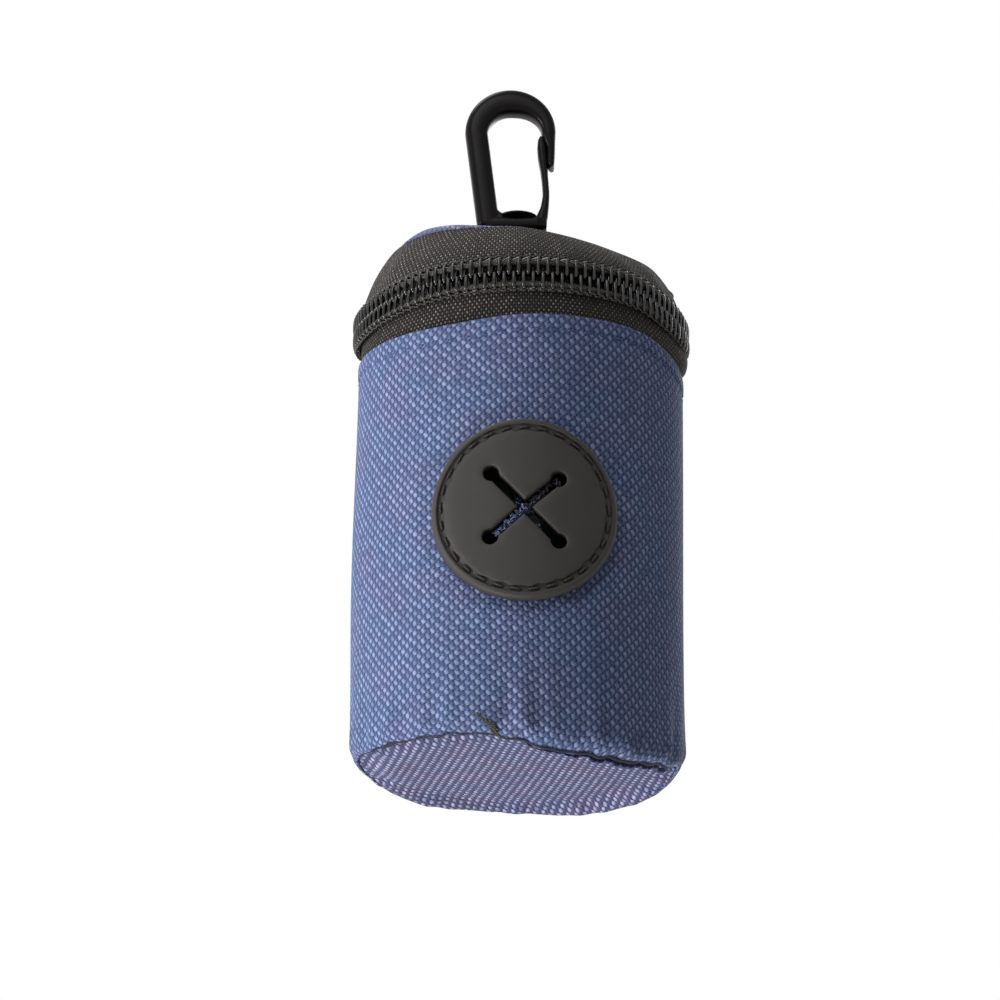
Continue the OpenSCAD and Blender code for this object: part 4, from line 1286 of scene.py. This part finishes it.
gateSpec = {
    # x and z of its middle line, and its width there, from the root up
    "stops": [
        (3.85, 94.6, 2.1), (4.2, 95.9, 2.0), (4.62, 97.4, 1.5), (4.9, 99.8, 1.22), (4.76, 102, 1.2),
        (4.55, 104.4, 1.3), (4.3, 106.6, 1.6), (4.17, 108.4, 1.62), (4.08, 109.8, 1.25), (4.12, 110.3, 0.7),
    ],
    "depth": 3.5,
    "bendFrom": 96.0,
    "bendTo": 100.0,
}
x, z, width = np.array(gateSpec["stops"]).T
fine = np.linspace(z[0], z[-1], 60)
gatePath = flatPath(np.interp(fine, z, x), fine)
for _ in range(6):  # rounds the bends of its line
    gatePath[1:-1, 0] = (gatePath[:-2, 0] + 2 * gatePath[1:-1, 0] + gatePath[2:, 0]) / 4
gateDepth = gateSpec["depth"] * (1 - 0.12 * eased(fine, 108.5, 110.3))
gate = bar("gate_moulding", gatePath, np.interp(fine, z, width), gateDepth, 3.4, 32)
gateEnds = [(0, 0, gateSpec[key] / 1000) for key in ("bendFrom", "bendTo")]
dressed(gate, ("hook", "gate", *gateEnds), hookAcetal, "black_acetal", "hook_gate")
print("hook made")


# Roll of bags on its core

(_, _, rollFoot), (rollRadius, _, rollTop) = nodeBox("bag_roll")
(_, _, coreFoot), (coreRadius, _, coreTop) = nodeBox("roll_core")
rollSpec = {"layers": 22, "ridge": 0.16, "step": 0.28, "bore": coreRadius + 0.06, "board": 0.9, "edgeRound": 0.12}


def lathe(name, bearings, profile):
    return loft(name, np.stack([turned(r, bearings, z) for r, z in profile], 1), sweepClosed=True)


rollRound = np.linspace(0, 360, 192, endpoint=False)


def layered(share):
    full = rollRadius - 0.05 - rollSpec["step"] * rollRound / 360
    return rollSpec["bore"] + (full - rollSpec["bore"]) * share


steps = rollSpec["layers"] * 2
edges = [(layered(k / steps), rollSpec["ridge"] if k % 2 else 0) for k in range(steps + 1)]
rows = [(radius, rollFoot + ridge) for radius, ridge in edges]
for t in np.linspace(0.02, 0.98, 20):
    rows.append((layered(1 - 0.0015 * (1 + math.sin(40 * t))), rollFoot + (rollTop - rollFoot) * t))
rows += [(radius, rollTop - ridge) for radius, ridge in edges[::-1]]
dressed(lathe("bag_roll_film", rollRound, rows), "roll", bagFilm, "bag_film", "bag_roll")

inner, outer, edge = coreRadius - rollSpec["board"], coreRadius, rollSpec["edgeRound"]
rows = [(inner, coreFoot + edge), (inner + edge, coreFoot), (outer - edge, coreFoot), (outer, coreFoot + edge)]
rows += [(outer, coreTop - edge), (outer - edge, coreTop), (inner + edge, coreTop), (inner, coreTop - edge)]
core = lathe("core_tube", np.linspace(0, 360, 96, endpoint=False), rows)
dressed(core, "roll", coreBoard, "core_board", "roll_core")
print("roll made")


# Solids that stay: finish only

for node, material in (("seam_binding", solidTape), ("zip_stops", coilNylon)):
    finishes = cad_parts[node].data.materials
    finishes.clear()
    finishes.append(material)


# Camera, floor and light

cameraSpec = {
    "rise": -17.0,  # degrees above the horizon
    "distance": 800.0,
    "lens": 173.0,
    "sensor": 36,
    "aim": (-2.95, 0.0, 46.05),  # the point it looks at, mm
}


def placedRig(name, data, location, away):
    # a camera or lamp that looks against the direction away
    rig = bpy.data.objects.new(name, data)
    rig.location = location
    rig.rotation_mode = "QUATERNION"
    rig.rotation_quaternion = away.to_track_quat("Z", "Y")
    bpy.context.scene.collection.objects.link(rig)
    return rig


rise = math.radians(cameraSpec["rise"])
backward = Vector((0, -math.cos(rise), math.sin(rise)))
view = bpy.data.cameras.new("camera")
view.lens, view.sensor_width = cameraSpec["lens"], cameraSpec["sensor"]
view.clip_start, view.clip_end = 0.01, 50
place = (Vector(cameraSpec["aim"]) + backward * cameraSpec["distance"]) / 1000
bpy.context.scene.camera = placedRig("camera", view, place, backward)

lightSpec = {
    "key": {"from": (-700, -260, -20), "size": 300, "power": 4.4},
    "under": {"from": (-330, -120, -620), "size": 320, "power": 4.4},
    "front": {"from": (-80, -330, 300), "size": 180, "power": 0.42},
    "top": {"from": (-260, 60, 700), "size": 420, "power": 3.0},
    "back": {"from": (150, 660, 260), "size": 500, "power": 1.4},
}
roomLevel = 0.18
for name, spec in lightSpec.items():
    lamp = bpy.data.lights.new(name, "AREA")
    lamp.shape = "DISK"
    lamp.size, lamp.energy = spec["size"] / 1000, spec["power"]
    place = Vector(spec["from"]) / 1000
    placedRig(name, lamp, place, place - Vector((0, 0, 0.05)))

plainWhite = (1, 1, 1, 1)
world = bpy.context.scene.world = bpy.data.worlds.new("studio")
world.use_nodes = True
tree = world.node_tree
tree.nodes.clear()
ray = addNode(tree, "LightPath").outputs
seen = addNode(tree, "Math", {0: ray["Is Camera Ray"], 1: ray["Is Glossy Ray"]}, operation="MAXIMUM")
seen = addNode(tree, "Math", {0: seen, 1: ray["Is Transmission Ray"]}, operation="MAXIMUM")
room = addNode(tree, "Background", {"Color": plainWhite, "Strength": roomLevel})
backdrop = addNode(tree, "Background", {"Color": plainWhite, "Strength": 1.0})
addNode(tree, "OutputWorld", {"Surface": addNode(tree, "MixShader", {0: seen, 1: room, 2: backdrop})})

# White studio paper: a soft matte ground by the object that fades to plain white further off
floorSpec = {"side": 3000, "height": -2.9, "tone": "#f4f4f3", "fadeFrom": 90, "fadeTo": 380}
edge = floorSpec["side"] / 2
corners = [(x * edge, y * edge, floorSpec["height"]) for x, y in ((-1, -1), (1, -1), (1, 1), (-1, 1))]
floor = newPiece("floor", corners, [[0, 1, 2, 3]], smooth=False)
paper = bpy.data.materials.new("matte studio paper")
paper.use_nodes = True
tree = paper.node_tree
tree.nodes.clear()
sheetFace = addNode(tree, "BsdfDiffuse", {"Color": colour(floorSpec["tone"])})
away = addNode(tree, "VectorMath", {0: addNode(tree, "TexCoord").outputs["Object"]}, operation="LENGTH")
near, far = floorSpec["fadeFrom"] / 1000, floorSpec["fadeTo"] / 1000
reach = {"Value": away.outputs["Value"], "From Min": near, "From Max": far}
fade = addNode(tree, "MapRange", reach, interpolation_type="SMOOTHSTEP")
glow = addNode(tree, "Emission", {"Color": plainWhite, "Strength": 1.0})
litFace = addNode(tree, "MixShader", {0: fade, 1: sheetFace, 2: glow})
behind = addNode(tree, "NewGeometry").outputs["Backfacing"]
oneSided = addNode(tree, "MixShader", {0: behind, 1: litFace, 2: addNode(tree, "BsdfTransparent")})
addNode(tree, "OutputMaterial", {"Surface": oneSided})
floor.data.materials.append(paper)
floor.visible_diffuse = floor.visible_glossy = floor.visible_shadow = False
bpy.context.scene.view_settings.view_transform = "Standard"
print("studio made")

bpy.data.objects.remove(cutter)
